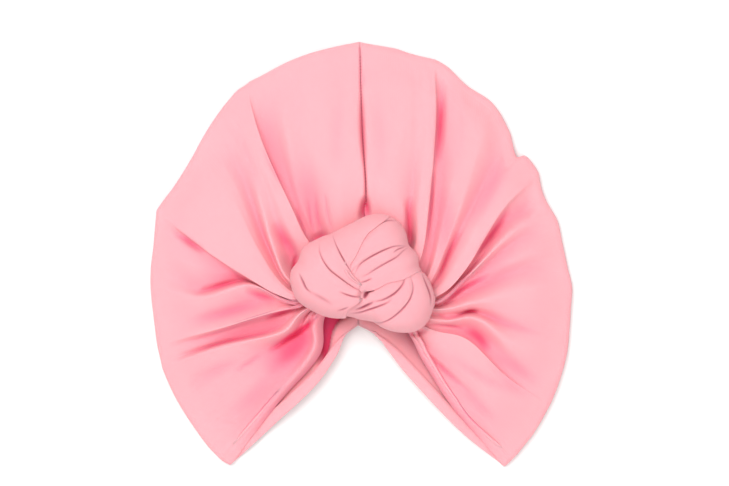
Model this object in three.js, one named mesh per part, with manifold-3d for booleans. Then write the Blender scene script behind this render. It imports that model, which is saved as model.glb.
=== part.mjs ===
// A ready-tied turban cap of jersey, lying flat on its back with its knot up.
// Two cloth panels fold round one hollow from front to back, meet at a centre seam and are
// gathered under a knot of three pleated lobes. The brim is the open mouth towards -Y.
// Millimetres, +Z up from the surface, +Y from the brim to the top of the crown.
import * as THREE from "three";
import { mergeVertices } from "three/addons/utils/BufferGeometryUtils.js";
import Module from "manifold-3d";

const wasm = await Module();
wasm.setup();

// Cloth: one layer, the doubled brim, and the gap between the panels along the seam
const WALL = 1.5;
const HEM_WALL = 2.4;
const SEAM_GAP = 0.3;

// Least upward share of a slope's normal that its wall is measured with, and the smallest detail
// that a trimmed lobe keeps
const STEEPEST = 0.5;
const FINEST = 0.08;

// Where the gathered cloth ends under the knot: an ellipse round the core
const RING = { x: 1, y: -14, long: 33, short: 19, tilt: -12, top: 14, room: 1.1 };

// The knot: middle height of its rounded side, its dome above and its underside, the powers that
// round them, the gap between its lobes and how far each row of a lobe stays inside the next
const KNOT = {
  x: 0.9, y: -18.4, middle: 23.5, dome: 23, underside: 15.6, domePower: 2.6, undersidePower: 3,
  gap: 0.3, rowInset: 0.012,
};

// The pad inside the knot: its room under the ring's height, the turn of its edge and its sides
const CORE = { below: 3, turn: 1.5, sides: 36 };

// One row for each fold of the crown's front, clockwise from brim to seam. Each fold is a curve
// from the knot's edge (near) over two places on the crown (mid, far) to the rim, with the
// cloth's height at each, and rimR is the radius of the cloth's turn round the rim.
const FOLD_COLUMNS = [
  "nearX", "nearY", "nearZ", "midX", "midY", "midZ", "farX", "farY", "farZ", "rimX", "rimY", "rimR",
];
const LEFT_FOLDS = {
  brim_edge:       [-27, -37, 17, -27, -56, 16, -48, -84, 12, -77.5, -123.5, 2.6],
  brim_panel:      [-28.5, -36.3, 16, -33, -53, 17, -58, -83, 15, -89, -114, 3.2],
  low_valley:      [-31, -35, 12, -41, -49.5, 12.5, -72, -70, 13.5, -108, -87, 3.8],
  low_ridge:       [-34, -33, 20.5, -50, -47, 20.5, -80, -59, 16.5, -117, -70, 4],
  band_valley:     [-35.6, -32, 15.5, -53, -43, 14, -83, -54, 12.5, -118.5, -62.5, 4],
  band_foot:       [-36.6, -31, 15, -54, -39, 13, -84, -49.5, 12, -119.5, -57.5, 4],
  band_crest:      [-37.2, -30.2, 19.5, -55, -36.3, 20, -85, -46.5, 16, -120.5, -53, 4],
  side_valley:     [-38.4, -28.8, 16, -60, -29, 14.5, -88, -37, 13, -122, -40, 4],
  side_ridge:      [-39, -28, 19.5, -62, -20.5, 18.5, -92, -26, 16, -124, -22, 4],
  pocket_valley:   [-39.6, -27.2, 15.5, -67, -16, 11, -94, -18, 11.5, -124, -9, 4],
  pocket_swell:    [-40, -26.5, 15.5, -67.5, -14.6, 12, -97, -6, 14.5, -122.5, 4, 4],
  corner_foot:     [-40.3, -25.8, 16, -68, -13.4, 12.5, -98, 4.5, 10.5, -121.3, 18, 4],
  corner_crest:    [-40.6, -25, 19.5, -68, -11.6, 19.5, -97.5, 7.2, 16, -120.5, 25.5, 4.2],
  side_panel:      [-41, -23.5, 20, -64, -2, 21, -90, 25, 17.5, -110, 40, 4.4],
  side_panel_top:  [-41.3, -21.8, 19.5, -60, 3, 20, -80, 40, 16.5, -100, 56, 4.4],
  soft_valley:     [-41.5, -19.5, 17.5, -55.5, 4, 17, -71, 46, 14.5, -90, 73, 4.4],
  narrow_ridge:    [-41.5, -16, 20, -51, 4, 20.5, -65.5, 49, 16.5, -83, 84, 4.4],
  black_valley:    [-38.5, -7, 13.5, -46, 9, 11, -62, 51, 14, -77, 91.5, 4.4],
  pleat_panel:     [-34.5, 1, 18.5, -43, 18, 18.5, -61, 58, 16.5, -73, 96, 4.4],
  pleat_crest:     [-30.5, 6.8, 20, -41, 27, 19.5, -59, 67, 16.5, -69, 98.8, 4.4],
  pleat_foot:      [-29, 7.6, 13.5, -39, 28, 12, -56, 68, 11.5, -66, 101, 4.4],
  hollow_valley:   [-27, 8.2, 13, -37, 29.5, 11, -51, 68, 12.5, -60, 103.5, 4.4],
  small_ridge:     [-25, 9, 15, -35, 31, 14, -43, 67, 16.5, -47, 111, 4.4],
  knot_valley:     [-21.5, 10, 12.5, -29.5, 33, 12, -33, 65, 15.5, -38, 115, 4.4],
  front_border:    [-17, 11.7, 17.5, -22, 35, 18, -25, 66, 18, -28, 118.5, 4.4],
  front_panel:     [-8, 15.8, 18, -10, 38, 20, -11.5, 70, 18.5, -13, 122.2, 4.4],
  seam_shoulder:   [-2.3, 19, 17.5, -0.7, 39, 19.5, -3, 72, 18, -5, 124, 4.4],
  seam:            [2, 20.8, 12, 2.6, 39, 16, 0.5, 72, 14.5, -1, 124.5, 4],
};
const RIGHT_FOLDS = {
  seam:            [2, 20.8, 12, 2.6, 39, 16, 0.5, 72, 14.5, -1, 124.5, 4],
  seam_shoulder:   [6.2, 21.4, 17.5, 5.8, 39, 19.5, 4, 72, 18, 4, 123.2, 4.4],
  front_panel:     [16, 21.7, 18.5, 17, 41, 20, 20, 76, 18.5, 20, 120.5, 4.4],
  front_border:    [24, 15.5, 17.5, 24, 36, 18.5, 28, 76, 18.5, 28, 117.8, 4.4],
  knot_valley:     [28, 5.5, 12, 29, 31, 16, 33, 77, 17.5, 34, 116.2, 4.4],
  tall_ridge:      [31, 1.8, 19.5, 34.5, 28, 20, 39, 77, 18.5, 39, 115, 4.4],
  tall_crest:      [33.4, -3.5, 20, 39.4, 27, 19.5, 43.5, 78, 17.5, 43, 114, 4.4],
  tall_foot:       [34.6, -8.5, 13, 41.5, 26.5, 13, 45.8, 78, 11.5, 45.5, 113, 4.4],
  tall_valley:     [37, -11, 14, 44.5, 25.5, 15.5, 49, 77, 14, 50, 110.3, 4.4],
  side_panel:      [38.8, -13.5, 17.5, 50, 22, 19, 60, 74, 17.5, 64, 96.5, 4.4],
  side_panel_low:  [40.2, -16, 17, 54, 17, 18.5, 68, 63, 16.5, 79, 86, 4.4],
  soft_valley:     [41.5, -18.5, 14.5, 56, 10, 16, 74, 48, 14, 88, 70, 4.4],
  shoulder_panel:  [42.7, -21.5, 17.5, 58, 0, 19, 79, 36, 16.5, 97, 57, 4.4],
  shoulder_crest:  [43.6, -24.5, 19, 60, -10.5, 19.5, 82.5, 25, 17, 103.5, 48.5, 4.4],
  shoulder_foot:   [44, -26.5, 15, 61.5, -11.8, 14.5, 85, 21.5, 10.5, 106, 38.5, 4.2],
  wedge_valley:    [44.1, -27.6, 15.5, 62.3, -12.8, 15, 88, 17.5, 12, 108, 32, 4.2],
  narrow_ridge:    [44.2, -28.6, 19, 63.3, -13.8, 18.5, 90.5, 12, 16, 112, 25, 4.2],
  narrow_foot:     [44.2, -29.6, 15, 65, -15.3, 13.5, 93, 7, 12.5, 115.5, 18, 4.2],
  side_swell:      [44.1, -30.5, 14.5, 66.5, -17.5, 14, 94, -1, 14.5, 118, 6, 4],
  upper_valley:    [44, -31.3, 14, 67.5, -21, 13.5, 94, -10, 12.5, 121, -8, 4],
  bright_ridge:    [43.6, -32.5, 19, 67, -27.3, 19.5, 94, -22, 16, 124, -20, 4],
  ridge_shoulder:  [43.2, -33.8, 18, 67.5, -31, 18, 94, -32, 15, 123.5, -32, 4],
  curved_valley:   [42.5, -35.2, 13, 68, -34.3, 11, 92, -43, 12, 122.5, -44, 4],
  low_ridge:       [41.2, -37.5, 18.5, 67, -39, 18.5, 90, -54, 16, 121, -59, 4],
  low_valley:      [39.5, -40, 14, 65, -46.5, 11, 87, -66, 12, 115.5, -79, 4],
  panel_crest:     [37.8, -42, 18, 61, -49.8, 19, 84, -71, 16.5, 110, -91, 4],
  brim_panel:      [34, -44.9, 17, 53, -59.5, 18.5, 75, -83, 15.5, 100, -107.5, 3.8],
  brim_crease:     [30.5, -46, 15, 43.5, -61.5, 15, 63, -87, 14, 91.5, -118.5, 3.2],
  brim_edge:       [27, -46.5, 17, 36.5, -63.5, 15.5, 56, -93.5, 12, 84.5, -125.5, 2.6],
};

// The back sheet: its brim edge from the tip up to the rounded top of the mouth, and that top
const BACK = {
  left:  { edge: [[-55, -102.5], [-27, -76]], mouth: [[-13, -56], [-10, -49], [-2, -41.5]] },
  right: { edge: [[57, -102], [27, -70]], mouth: [[-2, -41.5], [6, -46], [14, -54]] },
};

// Steps along a fold from the ring under the knot to the rim, and where its table's places lie
const PLACES = [0, 0.1, 0.41, 0.73, 1];
const FRONT_STEPS = [0, 0.05, 0.1, 0.17, 0.25, 0.33, 0.41, 0.49, 0.57, 0.65, 0.73, 0.81, 0.88, 0.94, 1];
const TURN_STEPS = [45, 0, -45];
const BACK_STEPS = [0, 0.33, 0.67, 1];
const COLUMN_WIDTH = 7;
const MOST_COLUMNS = 3;

// Lobes of the knot: one row for each pleat line, from where it starts over three places on the
// knot to where it ends. lift is the cloth's height over the knot's dome, below 0 in a groove.
const PLEAT_COLUMNS = ["x0", "y0", "x1", "y1", "x2", "y2", "x3", "y3", "x4", "y4", "lift"];
const LEFT_PLEATS = {
  upper_edge:   [2.2, -21, -6.4, -8.2, -3, 2, 3.5, 12.8, 15.5, 20.9, 0],
  top_panel:    [1.9, -21.1, -7, -8, -8, 0.5, -5.5, 8.5, 0, 20, 1],
  upper_groove: [1.5, -21.3, -7.6, -8, -12, -1, -14.5, 4.5, -17.3, 11, -1.3],
  mid_panel:    [1.1, -21.6, -8.8, -11, -14.5, -5, -18.5, 1, -21.5, 9.3, 0.6],
  mid_groove:   [0.8, -22, -9, -15.6, -16.5, -10.5, -22, -4, -26, 7.5, -1.3],
  wide_panel:   [0.6, -22.7, -10.5, -20, -20, -15.5, -28.5, -10, -38, -7.5, 0.8],
  side_groove:  [0.5, -23.4, -10.5, -25, -20, -25, -30.5, -21, -40.3, -14, -0.8],
  low_panel:    [0.5, -24, -9, -27.8, -17, -30, -26, -31, -37, -27.5, 0.5],
  under_panel:  [0.6, -24.7, -6.5, -29.3, -11, -32, -16.5, -34.5, -22, -36.8, 0.3],
  lower_edge:   [0.9, -25.3, -4, -29.3, -6.8, -31.6, -8.3, -33.8, -8.5, -36.6, 0],
};
const UPPER_PLEATS = {
  upper_edge:   [-8, -7.5, -6, 0, -2, 8, 4, 16, 14, 22, -0.5],
  top_roll:     [-7, -9, -1.5, -1, 4.5, 7, 12, 14.5, 21, 18.9, 0.6],
  top_panel:    [-6, -10.3, 0, -3.5, 8, 2.6, 16, 7.5, 26, 10.5, 1],
  upper_groove: [-4.6, -12, 0, -5.8, 8, -1.2, 17, 3.4, 27.9, 4.9, -1.3],
  mid_ridge:    [-3.2, -14, 1.7, -10, 10, -5, 19, 0, 28.4, 4.3, 0.4],
  lower_groove: [-2, -15.6, 3, -12, 10.3, -7.8, 19.5, -2.8, 28.9, 3.9, -1.3],
  low_panel:    [-0.6, -17.8, 6.5, -15.8, 14, -12, 23, -8, 32.3, -2, 0.9],
  lower_edge:   [2, -21.6, 8.5, -19.2, 15, -16.6, 24, -13.9, 33.8, -9.6, -0.6],
};
const LOWER_PLEATS = {
  inner_edge:   [19, -13.5, 12.5, -18.5, 7.4, -22.2, 3.2, -26, -6, -28.6, -0.6],
  inner_ridge:  [22, -12.8, 18, -20, 11.3, -24.6, 4.5, -27.6, -6.6, -30, 0.6],
  inner_groove: [24.7, -12.2, 22, -21, 14.5, -26.5, 5.8, -29.8, -7.2, -31.4, -1.2],
  main_ridge:   [26.8, -11.8, 26.2, -24, 18.5, -31.5, 7, -34.6, -7.9, -33.3, 0.9],
  outer_groove: [29, -11.3, 29.6, -24.5, 22.5, -34.8, 11, -38.8, -8.6, -34.7, -1.2],
  outer_ridge:  [32, -10.3, 36.5, -25, 30, -39, 15, -42.3, -9.2, -35.8, 0.9],
  outer_edge:   [35.2, -9.2, 43.4, -26, 37.7, -41.8, 19.5, -46.3, -9.6, -36.8, 0],
};
const PLEAT_PLACES = [0, 0.3, 0.55, 0.78, 1];

// The knot's outline from above, anticlockwise
const KNOT_OUTLINE = [
  [32, 0], [27.5, 5], [25, 13], [20, 19.5], [14, 22], [5, 21.5], [-5, 17], [-17, 11], [-26, 7.5],
  [-33, 3], [-36, -5], [-40.5, -11], [-40, -20], [-37, -27.5], [-30, -33], [-22, -36.8], [-8, -36.6],
  [-1, -38.7], [7, -40.5], [15, -45], [23, -46.7], [31, -46], [37.5, -42], [41, -36], [43.5, -27],
  [42, -20], [38, -12], [33.7, -8],
];

// Cubic curve through values: slopes are those of a smooth curve, or held back where the values
// turn so that the curve never overshoots a crest or a valley
function slopes(at, values, steady) {
  const last = at.length - 1;
  const rise = values.slice(1).map((v, i) => (v - values[i]) / (at[i + 1] - at[i]));
  return values.map((_, i) => {
    if (i === 0) return rise[0];
    if (i === last) return rise[last - 1];
    if (!steady) return (values[i + 1] - values[i - 1]) / (at[i + 1] - at[i - 1]);
    if (rise[i - 1] * rise[i] <= 0) return 0;
    return (2 * rise[i - 1] * rise[i]) / (rise[i - 1] + rise[i]);
  });
}

function curve(at, values, steady = true) {
  const slope = slopes(at, values, steady);
  return (t) => {
    let i = 0;
    while (i < at.length - 2 && t > at[i + 1]) i += 1;
    const h = at[i + 1] - at[i];
    const s = (t - at[i]) / h;
    const a = (1 + 2 * s) * (1 - s) ** 2;
    const b = s * (1 - s) ** 2;
    const c = s * s * (3 - 2 * s);
    const d = s * s * (s - 1);
    return a * values[i] + b * h * slope[i] + c * values[i + 1] + d * h * slope[i + 1];
  };
}

function named(table, columns) {
  return Object.values(table).map((row) => Object.fromEntries(columns.map((name, i) => [name, row[i]])));
}

// Point of the ring under the knot that faces a place on the crown
function ringPoint(x, y) {
  const tilt = THREE.MathUtils.degToRad(RING.tilt);
  const away = Math.atan2(y - RING.y, x - RING.x) - tilt;
  const reach = 1 / Math.hypot(Math.cos(away) / RING.long, Math.sin(away) / RING.short);
  return [RING.x + reach * Math.cos(away + tilt), RING.y + reach * Math.sin(away + tilt)];
}

// Closed body between an outer and an inner grid of the same size, edges joined all round
function closedShell(outer, inner) {
  const columns = outer.length;
  const rows = outer[0].length;
  const positions = [...outer.flat(), ...inner.flat()].flat();
  const index = [];
  const out = (i, j) => i * rows + j;
  const inn = (i, j) => (columns + i) * rows + j;
  const quad = (a, b, c, d) => index.push(a, b, c, a, c, d);
  for (let i = 0; i < columns - 1; i += 1) {
    for (let j = 0; j < rows - 1; j += 1) {
      quad(out(i, j), out(i + 1, j), out(i + 1, j + 1), out(i, j + 1));
      quad(inn(i, j), inn(i, j + 1), inn(i + 1, j + 1), inn(i + 1, j));
    }
    quad(out(i, 0), inn(i, 0), inn(i + 1, 0), out(i + 1, 0));
    quad(out(i, rows - 1), out(i + 1, rows - 1), inn(i + 1, rows - 1), inn(i, rows - 1));
  }
  for (let j = 0; j < rows - 1; j += 1) {
    quad(out(0, j), out(0, j + 1), inn(0, j + 1), inn(0, j));
    quad(out(columns - 1, j), inn(columns - 1, j), inn(columns - 1, j + 1), out(columns - 1, j + 1));
  }
  const geometry = new THREE.BufferGeometry();
  geometry.setAttribute("position", new THREE.Float32BufferAttribute(positions, 3));
  geometry.setIndex(index);
  return tidied(geometry);
}

// Shared corners merged, and triangles that have lost a side left out
function tidied(geometry) {
  const merged = mergeVertices(geometry, 1e-4);
  const kept = [];
  for (let i = 0; i < merged.index.count; i += 3) {
    const [a, b, c] = [0, 1, 2].map((k) => merged.index.getX(i + k));
    if (a !== b && b !== c && c !== a) kept.push(a, b, c);
  }
  merged.setIndex(kept);
  return merged;
}

// Fold curves of the table as points at each step, then columns between neighbouring folds
function frontColumns(table) {
  const folds = named(table, FOLD_COLUMNS);
  const lines = folds.map((f) => {
    const [ringX, ringY] = ringPoint(f.nearX, f.nearY);
    const away = new THREE.Vector2(f.rimX - f.farX, f.rimY - f.farY).normalize();
    const endX = f.rimX - f.rimR * away.x;
    const endY = f.rimY - f.rimR * away.y;
    const x = curve(PLACES, [ringX, f.nearX, f.midX, f.farX, endX], false);
    const y = curve(PLACES, [ringY, f.nearY, f.midY, f.farY, endY], false);
    const z = curve(PLACES, [RING.top, f.nearZ, f.midZ, f.farZ, 2 * f.rimR]);
    const points = FRONT_STEPS.map((t) => [x(t), y(t), z(t)]);
    return { points, turn: [away.x, away.y, f.rimR] };
  });
  const at = lines.map((_, i) => i);
  const stops = [];
  for (let i = 0; i < folds.length - 1; i += 1) {
    const width = Math.hypot(folds[i + 1].farX - folds[i].farX, folds[i + 1].farY - folds[i].farY);
    const count = THREE.MathUtils.clamp(Math.round(width / COLUMN_WIDTH), 1, MOST_COLUMNS);
    for (let k = 0; k < count; k += 1) stops.push(i + k / count);
  }
  stops.push(lines.length - 1);
  const across = FRONT_STEPS.map((_, j) =>
    [0, 1, 2].map((axis) => curve(at, lines.map((line) => line.points[j][axis]))));
  const turns = [0, 1, 2].map((k) => curve(at, lines.map((line) => line.turn[k])));
  return stops.map((u) => ({
    u,
    share: u / (lines.length - 1),
    front: across.map((axes) => axes.map((f) => f(u))),
    turn: turns.map((f) => f(u)),
  }));
}

// Back ray of a column: straight from the rim to the top of the mouth, but along the brim edge
// it follows that edge
function backRay(column, columns, side, fromBrim) {
  const { edge, mouth } = BACK[side];
  const top = [0, 1].map((axis) => curve([0, 0.5, 1], mouth.map((p) => p[axis])));
  const brim = side === "left" ? columns[0] : columns[columns.length - 1];
  const mouthEnd = side === "left" ? mouth[0] : mouth[mouth.length - 1];
  const tip = brim.front[brim.front.length - 1];
  const along = [0, 1].map((axis) =>
    curve([0, 0.33, 0.75, 1], [tip[axis], edge[0][axis], edge[1][axis], mouthEnd[axis]]));
  const start = column.front[column.front.length - 1];
  const end = top.map((f) => f(column.share));
  const pull = (1 - fromBrim) ** 3;
  return BACK_STEPS.map((q) => [0, 1].map((axis) => {
    const straight = start[axis] + (end[axis] - start[axis]) * q;
    const chord = tip[axis] + (mouthEnd[axis] - tip[axis]) * q;
    return straight + pull * (along[axis](q) - chord);
  }));
}

// One half of the crown: front with its folds, the turn round the rim and the flat back
function crownPanel(table, side) {
  const columns = frontColumns(table);
  const brimAt = side === "left" ? 0 : columns.length - 1;
  const seamAt = columns.length - 1 - brimAt;
  const nudge = (side === "left" ? -1 : 1) * SEAM_GAP / 2;
  const outer = [];
  const inner = [];
  columns.forEach((column, i) => {
    const before = columns[Math.max(0, i - 1)].front;
    const after = columns[Math.min(columns.length - 1, i + 1)].front;
    const fromBrim = side === "left" ? column.share : 1 - column.share;
    const hem = THREE.MathUtils.clamp(1 - Math.abs(column.u - columns[brimAt].u), 0, 1);
    const wall = WALL + (HEM_WALL - WALL) * hem;
    const shift = i === seamAt ? nudge : 0;
    const top = [];
    const under = [];
    const last = column.front.length - 1;
    column.front.forEach(([x, y, z], j) => {
      const next = new THREE.Vector3(...column.front[Math.min(last, j + 1)]);
      const along = next.sub(new THREE.Vector3(...column.front[Math.max(0, j - 1)]));
      const over = new THREE.Vector3(...after[j]).sub(new THREE.Vector3(...before[j]));
      const facing = Math.max(STEEPEST, over.cross(along).normalize().z);
      const depth = j === last ? wall : wall / facing;
      top.push([x + shift, y, z]);
      under.push([x + shift, y, z - depth]);
    });
    const [awayX, awayY, radius] = column.turn;
    const [endX, endY] = column.front[last];
    for (const degrees of TURN_STEPS) {
      const angle = THREE.MathUtils.degToRad(degrees);
      for (const [list, r] of [[top, radius], [under, radius - wall]]) {
        const reach = r * Math.cos(angle);
        list.push([endX + shift + awayX * reach, endY + awayY * reach, radius + r * Math.sin(angle)]);
      }
    }
    for (const [x, y] of backRay(column, columns, side, fromBrim)) {
      top.push([x + shift, y, 0]);
      under.push([x + shift, y, wall]);
    }
    outer.push(top);
    inner.push(under);
  });
  return closedShell(outer, inner);
}

// Reach of the knot's outline from its middle, by direction, three turns so that it closes
const outlinePolar = KNOT_OUTLINE.map(([x, y]) => {
  const angle = Math.atan2(y - KNOT.y, x - KNOT.x);
  return [angle, Math.hypot(x - KNOT.x, y - KNOT.y)];
}).sort((a, b) => a[0] - b[0]);
const allRound = [-1, 0, 1].flatMap((turn) => outlinePolar.map(([a, r]) => [a + turn * 2 * Math.PI, r]));
const knotReach = curve(allRound.map((p) => p[0]), allRound.map((p) => p[1]), false);

// How far out a place on the knot is, from 0 in the middle to 1 at the outline
function outness(x, y) {
  const reach = knotReach(Math.atan2(y - KNOT.y, x - KNOT.x));
  return Math.min(1, Math.hypot(x - KNOT.x, y - KNOT.y) / reach);
}

// A place of a lobe: on the outline in its last row, and a little further inside in each row before
function withinOutline([x, y], rowsToEdge) {
  const angle = Math.atan2(y - KNOT.y, x - KNOT.x);
  const most = (1 - KNOT.rowInset * rowsToEdge) * knotReach(angle);
  const own = Math.hypot(x - KNOT.x, y - KNOT.y);
  const reach = rowsToEdge === 0 ? most : Math.min(own, most);
  return [KNOT.x + reach * Math.cos(angle), KNOT.y + reach * Math.sin(angle)];
}

function knotTop(x, y, lift) {
  const round = Math.sqrt(Math.max(0, 1 - outness(x, y) ** KNOT.domePower));
  return KNOT.middle + (KNOT.dome + lift) * round;
}

function knotUnderside(x, y) {
  const round = Math.sqrt(Math.max(0, 1 - outness(x, y) ** KNOT.undersidePower));
  return KNOT.middle - (KNOT.middle - KNOT.underside) * round;
}

// One lobe: pleat lines of the table, the knot's dome over them and its underside below.
// endsOnOutline says whether the lines' ends or the last line lie on the knot's outline.
// reversed is set where the table's lines run anticlockwise or the pleats run back.
// grown widens the plan and three times that the height, to cut a neighbour with a gap.
function knotLobe(table, { rows, perPleat, endsOnOutline, reversed, lift, grown = 0 }) {
  const pleats = named(table, PLEAT_COLUMNS);
  const steps = Array.from({ length: rows }, (_, j) => {
    const t = j / (rows - 1);
    return endsOnOutline ? Math.sin(t * Math.PI / 2) : t;
  });
  const lines = pleats.map((p) => {
    const x = curve(PLEAT_PLACES, [p.x0, p.x1, p.x2, p.x3, p.x4], false);
    const y = curve(PLEAT_PLACES, [p.y0, p.y1, p.y2, p.y3, p.y4], false);
    return steps.map((t) => [x(t), y(t)]);
  });
  const at = lines.map((_, i) => i);
  const height = curve(at, pleats.map((p) => p.lift));
  const count = (lines.length - 1) * perPleat + 1;
  const plan = Array.from({ length: count }, (_, i) => {
    const u = i / perPleat;
    return steps.map((_, j) => {
      const place = [0, 1].map((axis) => curve(at, lines.map((line) => line[j][axis]))(u));
      const toEdge = endsOnOutline ? steps.length - 1 - j : count - 1 - i;
      return withinOutline(place, toEdge);
    });
  });
  const lifts = plan.map((_, i) => lift + height(i / perPleat));
  if (reversed) {
    plan.reverse();
    lifts.reverse();
  }
  const wide = grown ? widened(plan, grown) : plan;
  const taller = 3 * grown;
  const top = wide.map((line, i) => line.map(([x, y]) => [x, y, knotTop(x, y, lifts[i]) + taller]));
  const under = wide.map((line) => line.map(([x, y]) => [x, y, knotUnderside(x, y) - taller]));
  return closedShell(top, under);
}

// The plan's outermost points moved out by a distance
function widened(plan, distance) {
  const lastI = plan.length - 1;
  const lastJ = plan[0].length - 1;
  return plan.map((line, i) => line.map(([x, y], j) => {
    const at = (a, b) => plan[THREE.MathUtils.clamp(a, 0, lastI)][THREE.MathUtils.clamp(b, 0, lastJ)];
    const out = new THREE.Vector2();
    const push = (ax, ay) => out.add(new THREE.Vector2(ax, ay).normalize());
    const alongI = [at(i, j + 1)[0] - at(i, j - 1)[0], at(i, j + 1)[1] - at(i, j - 1)[1]];
    const alongJ = [at(i + 1, j)[0] - at(i - 1, j)[0], at(i + 1, j)[1] - at(i - 1, j)[1]];
    if (i === 0) push(-alongI[1], alongI[0]);
    if (i === lastI) push(alongI[1], -alongI[0]);
    if (j === 0) push(alongJ[1], -alongJ[0]);
    if (j === lastJ) push(-alongJ[1], alongJ[0]);
    return [x + distance * out.x, y + distance * out.y];
  }));
}

function toSolid(geometry) {
  return new wasm.Manifold(new wasm.Mesh({
    numProp: 3,
    vertProperties: new Float32Array(geometry.attributes.position.array),
    triVerts: new Uint32Array(geometry.index.array),
  }));
}

function toGeometry(solid) {
  const mesh = solid.getMesh();
  const geometry = new THREE.BufferGeometry();
  geometry.setAttribute("position", new THREE.BufferAttribute(new Float32Array(mesh.vertProperties), 3));
  geometry.setIndex(Array.from(mesh.triVerts));
  return geometry;
}

// A lobe without what lies under its neighbours; slivers past them are dropped
function trimmed(geometry, ...cutters) {
  const solid = cutters.reduce((left, cutter) => left.subtract(toSolid(cutter)), toSolid(geometry));
  const bodies = solid.decompose().sort((a, b) => b.volume() - a.volume());
  return toGeometry(bodies[0].simplify(FINEST));
}

// The turned-under middle of the knot: a plain round-edged pad inside the ring
function knotCore() {
  const { turn, sides } = CORE;
  const bottom = RING.top - CORE.below;
  const top = KNOT.underside - KNOT.gap;
  const rings = [[-turn, bottom], [0, bottom + turn], [0, top - turn], [-turn, top]];
  const tilt = THREE.MathUtils.degToRad(RING.tilt);
  const positions = [];
  const index = [];
  for (const [inset, z] of rings) {
    for (let i = 0; i < sides; i += 1) {
      const angle = (i / sides) * 2 * Math.PI;
      const a = (RING.long - RING.room + inset) * Math.cos(angle);
      const b = (RING.short - RING.room + inset) * Math.sin(angle);
      positions.push(RING.x + a * Math.cos(tilt) - b * Math.sin(tilt));
      positions.push(RING.y + a * Math.sin(tilt) + b * Math.cos(tilt), z);
    }
  }
  for (let k = 0; k < rings.length - 1; k += 1) {
    for (let i = 0; i < sides; i += 1) {
      const [a, b] = [k * sides + i, k * sides + (i + 1) % sides];
      index.push(a, b, b + sides, a, b + sides, a + sides);
    }
  }
  const low = positions.length / 3;
  positions.push(RING.x, RING.y, bottom, RING.x, RING.y, top);
  const high = (rings.length - 1) * sides;
  for (let i = 0; i < sides; i += 1) {
    index.push(low, (i + 1) % sides, i, low + 1, high + i, high + (i + 1) % sides);
  }
  const geometry = new THREE.BufferGeometry();
  geometry.setAttribute("position", new THREE.Float32BufferAttribute(positions, 3));
  geometry.setIndex(index);
  return geometry;
}

function jersey(color) {
  return new THREE.MeshStandardMaterial({ color, roughness: 0.9, metalness: 0 });
}

const LOBES = {
  left:  { rows: 12, perPleat: 2, endsOnOutline: true, reversed: true, lift: 1 },
  upper: { rows: 10, perPleat: 2, endsOnOutline: true, reversed: false, lift: -0.3 },
  lower: { rows: 13, perPleat: 3, endsOnOutline: false, reversed: true, lift: -1.5 },
};
const leftGrown = knotLobe(LEFT_PLEATS, { ...LOBES.left, grown: KNOT.gap });
const upperGrown = knotLobe(UPPER_PLEATS, { ...LOBES.upper, grown: KNOT.gap });

const pieces = {
  crown_left_panel: [crownPanel(LEFT_FOLDS, "left"), "#f6b9c3"],
  crown_right_panel: [crownPanel(RIGHT_FOLDS, "right"), "#f6b9c3"],
  knot_left_lobe: [knotLobe(LEFT_PLEATS, LOBES.left), "#f4b3bd"],
  knot_upper_lobe: [trimmed(knotLobe(UPPER_PLEATS, LOBES.upper), leftGrown), "#f4b3bd"],
  knot_lower_lobe: [trimmed(knotLobe(LOWER_PLEATS, LOBES.lower), leftGrown, upperGrown), "#f4b3bd"],
  knot_core: [knotCore(), "#f0a5b1"],
};

const cap = new THREE.Group();
cap.name = "turban_cap";
for (const [name, [geometry, color]] of Object.entries(pieces)) {
  const mesh = new THREE.Mesh(geometry, jersey(color));
  mesh.name = name;
  cap.add(mesh);
}

// The origin lies on the surface under the middle of the whole
const extent = new THREE.Box3().setFromObject(cap);
cap.position.set(-(extent.min.x + extent.max.x) / 2, -(extent.min.y + extent.max.y) / 2, 0);

export default cap;
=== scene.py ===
"""A ready-tied turban cap of pink jersey, lying flat on its back with its knot up.

Every cloth surface is a grid of two parameters. The crown's run clockwise round the knot and
out along the folds to the rim, and the knot's run across and along its pleats. A thread sews
the crown's two panels together.
"""

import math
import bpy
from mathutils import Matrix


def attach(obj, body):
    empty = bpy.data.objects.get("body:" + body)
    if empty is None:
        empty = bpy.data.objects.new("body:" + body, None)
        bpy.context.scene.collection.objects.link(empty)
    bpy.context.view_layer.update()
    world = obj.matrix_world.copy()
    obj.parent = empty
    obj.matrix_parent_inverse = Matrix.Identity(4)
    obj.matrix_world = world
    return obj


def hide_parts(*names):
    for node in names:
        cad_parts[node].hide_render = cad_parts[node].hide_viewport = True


bl_info = {
    "name": "Knotted Jersey Turban Cap",
    "version": (1, 0, 0),
    "blender": (4, 5, 0),
    "location": "3D View > Sidebar > Turban Cap",
    "description": "Builds the crown, seam and knot of a jersey turban cap round its frame",
    "category": "Add Mesh",
}

import bpy
import numpy as np
from bpy.props import FloatProperty, FloatVectorProperty, PointerProperty
from bpy.types import Operator, Panel, PropertyGroup

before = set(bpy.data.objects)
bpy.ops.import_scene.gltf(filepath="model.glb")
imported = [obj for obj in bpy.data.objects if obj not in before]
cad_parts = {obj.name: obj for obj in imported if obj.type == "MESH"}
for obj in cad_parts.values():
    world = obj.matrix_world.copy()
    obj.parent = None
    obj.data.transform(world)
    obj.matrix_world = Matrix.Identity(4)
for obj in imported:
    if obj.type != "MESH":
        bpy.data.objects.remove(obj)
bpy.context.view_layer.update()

MM = 0.001

# Middle of the outline in the tables' own millimetres, which the frame's origin lies under
MIDDLE = np.array([0.0, -0.5])

# Where the gathered cloth ends under the knot: an ellipse round the core, turned by tilt in
# degrees, at the height top
RING = {"x": 1, "y": -14, "long": 33, "short": 19, "tilt": -12, "top": 14}

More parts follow.
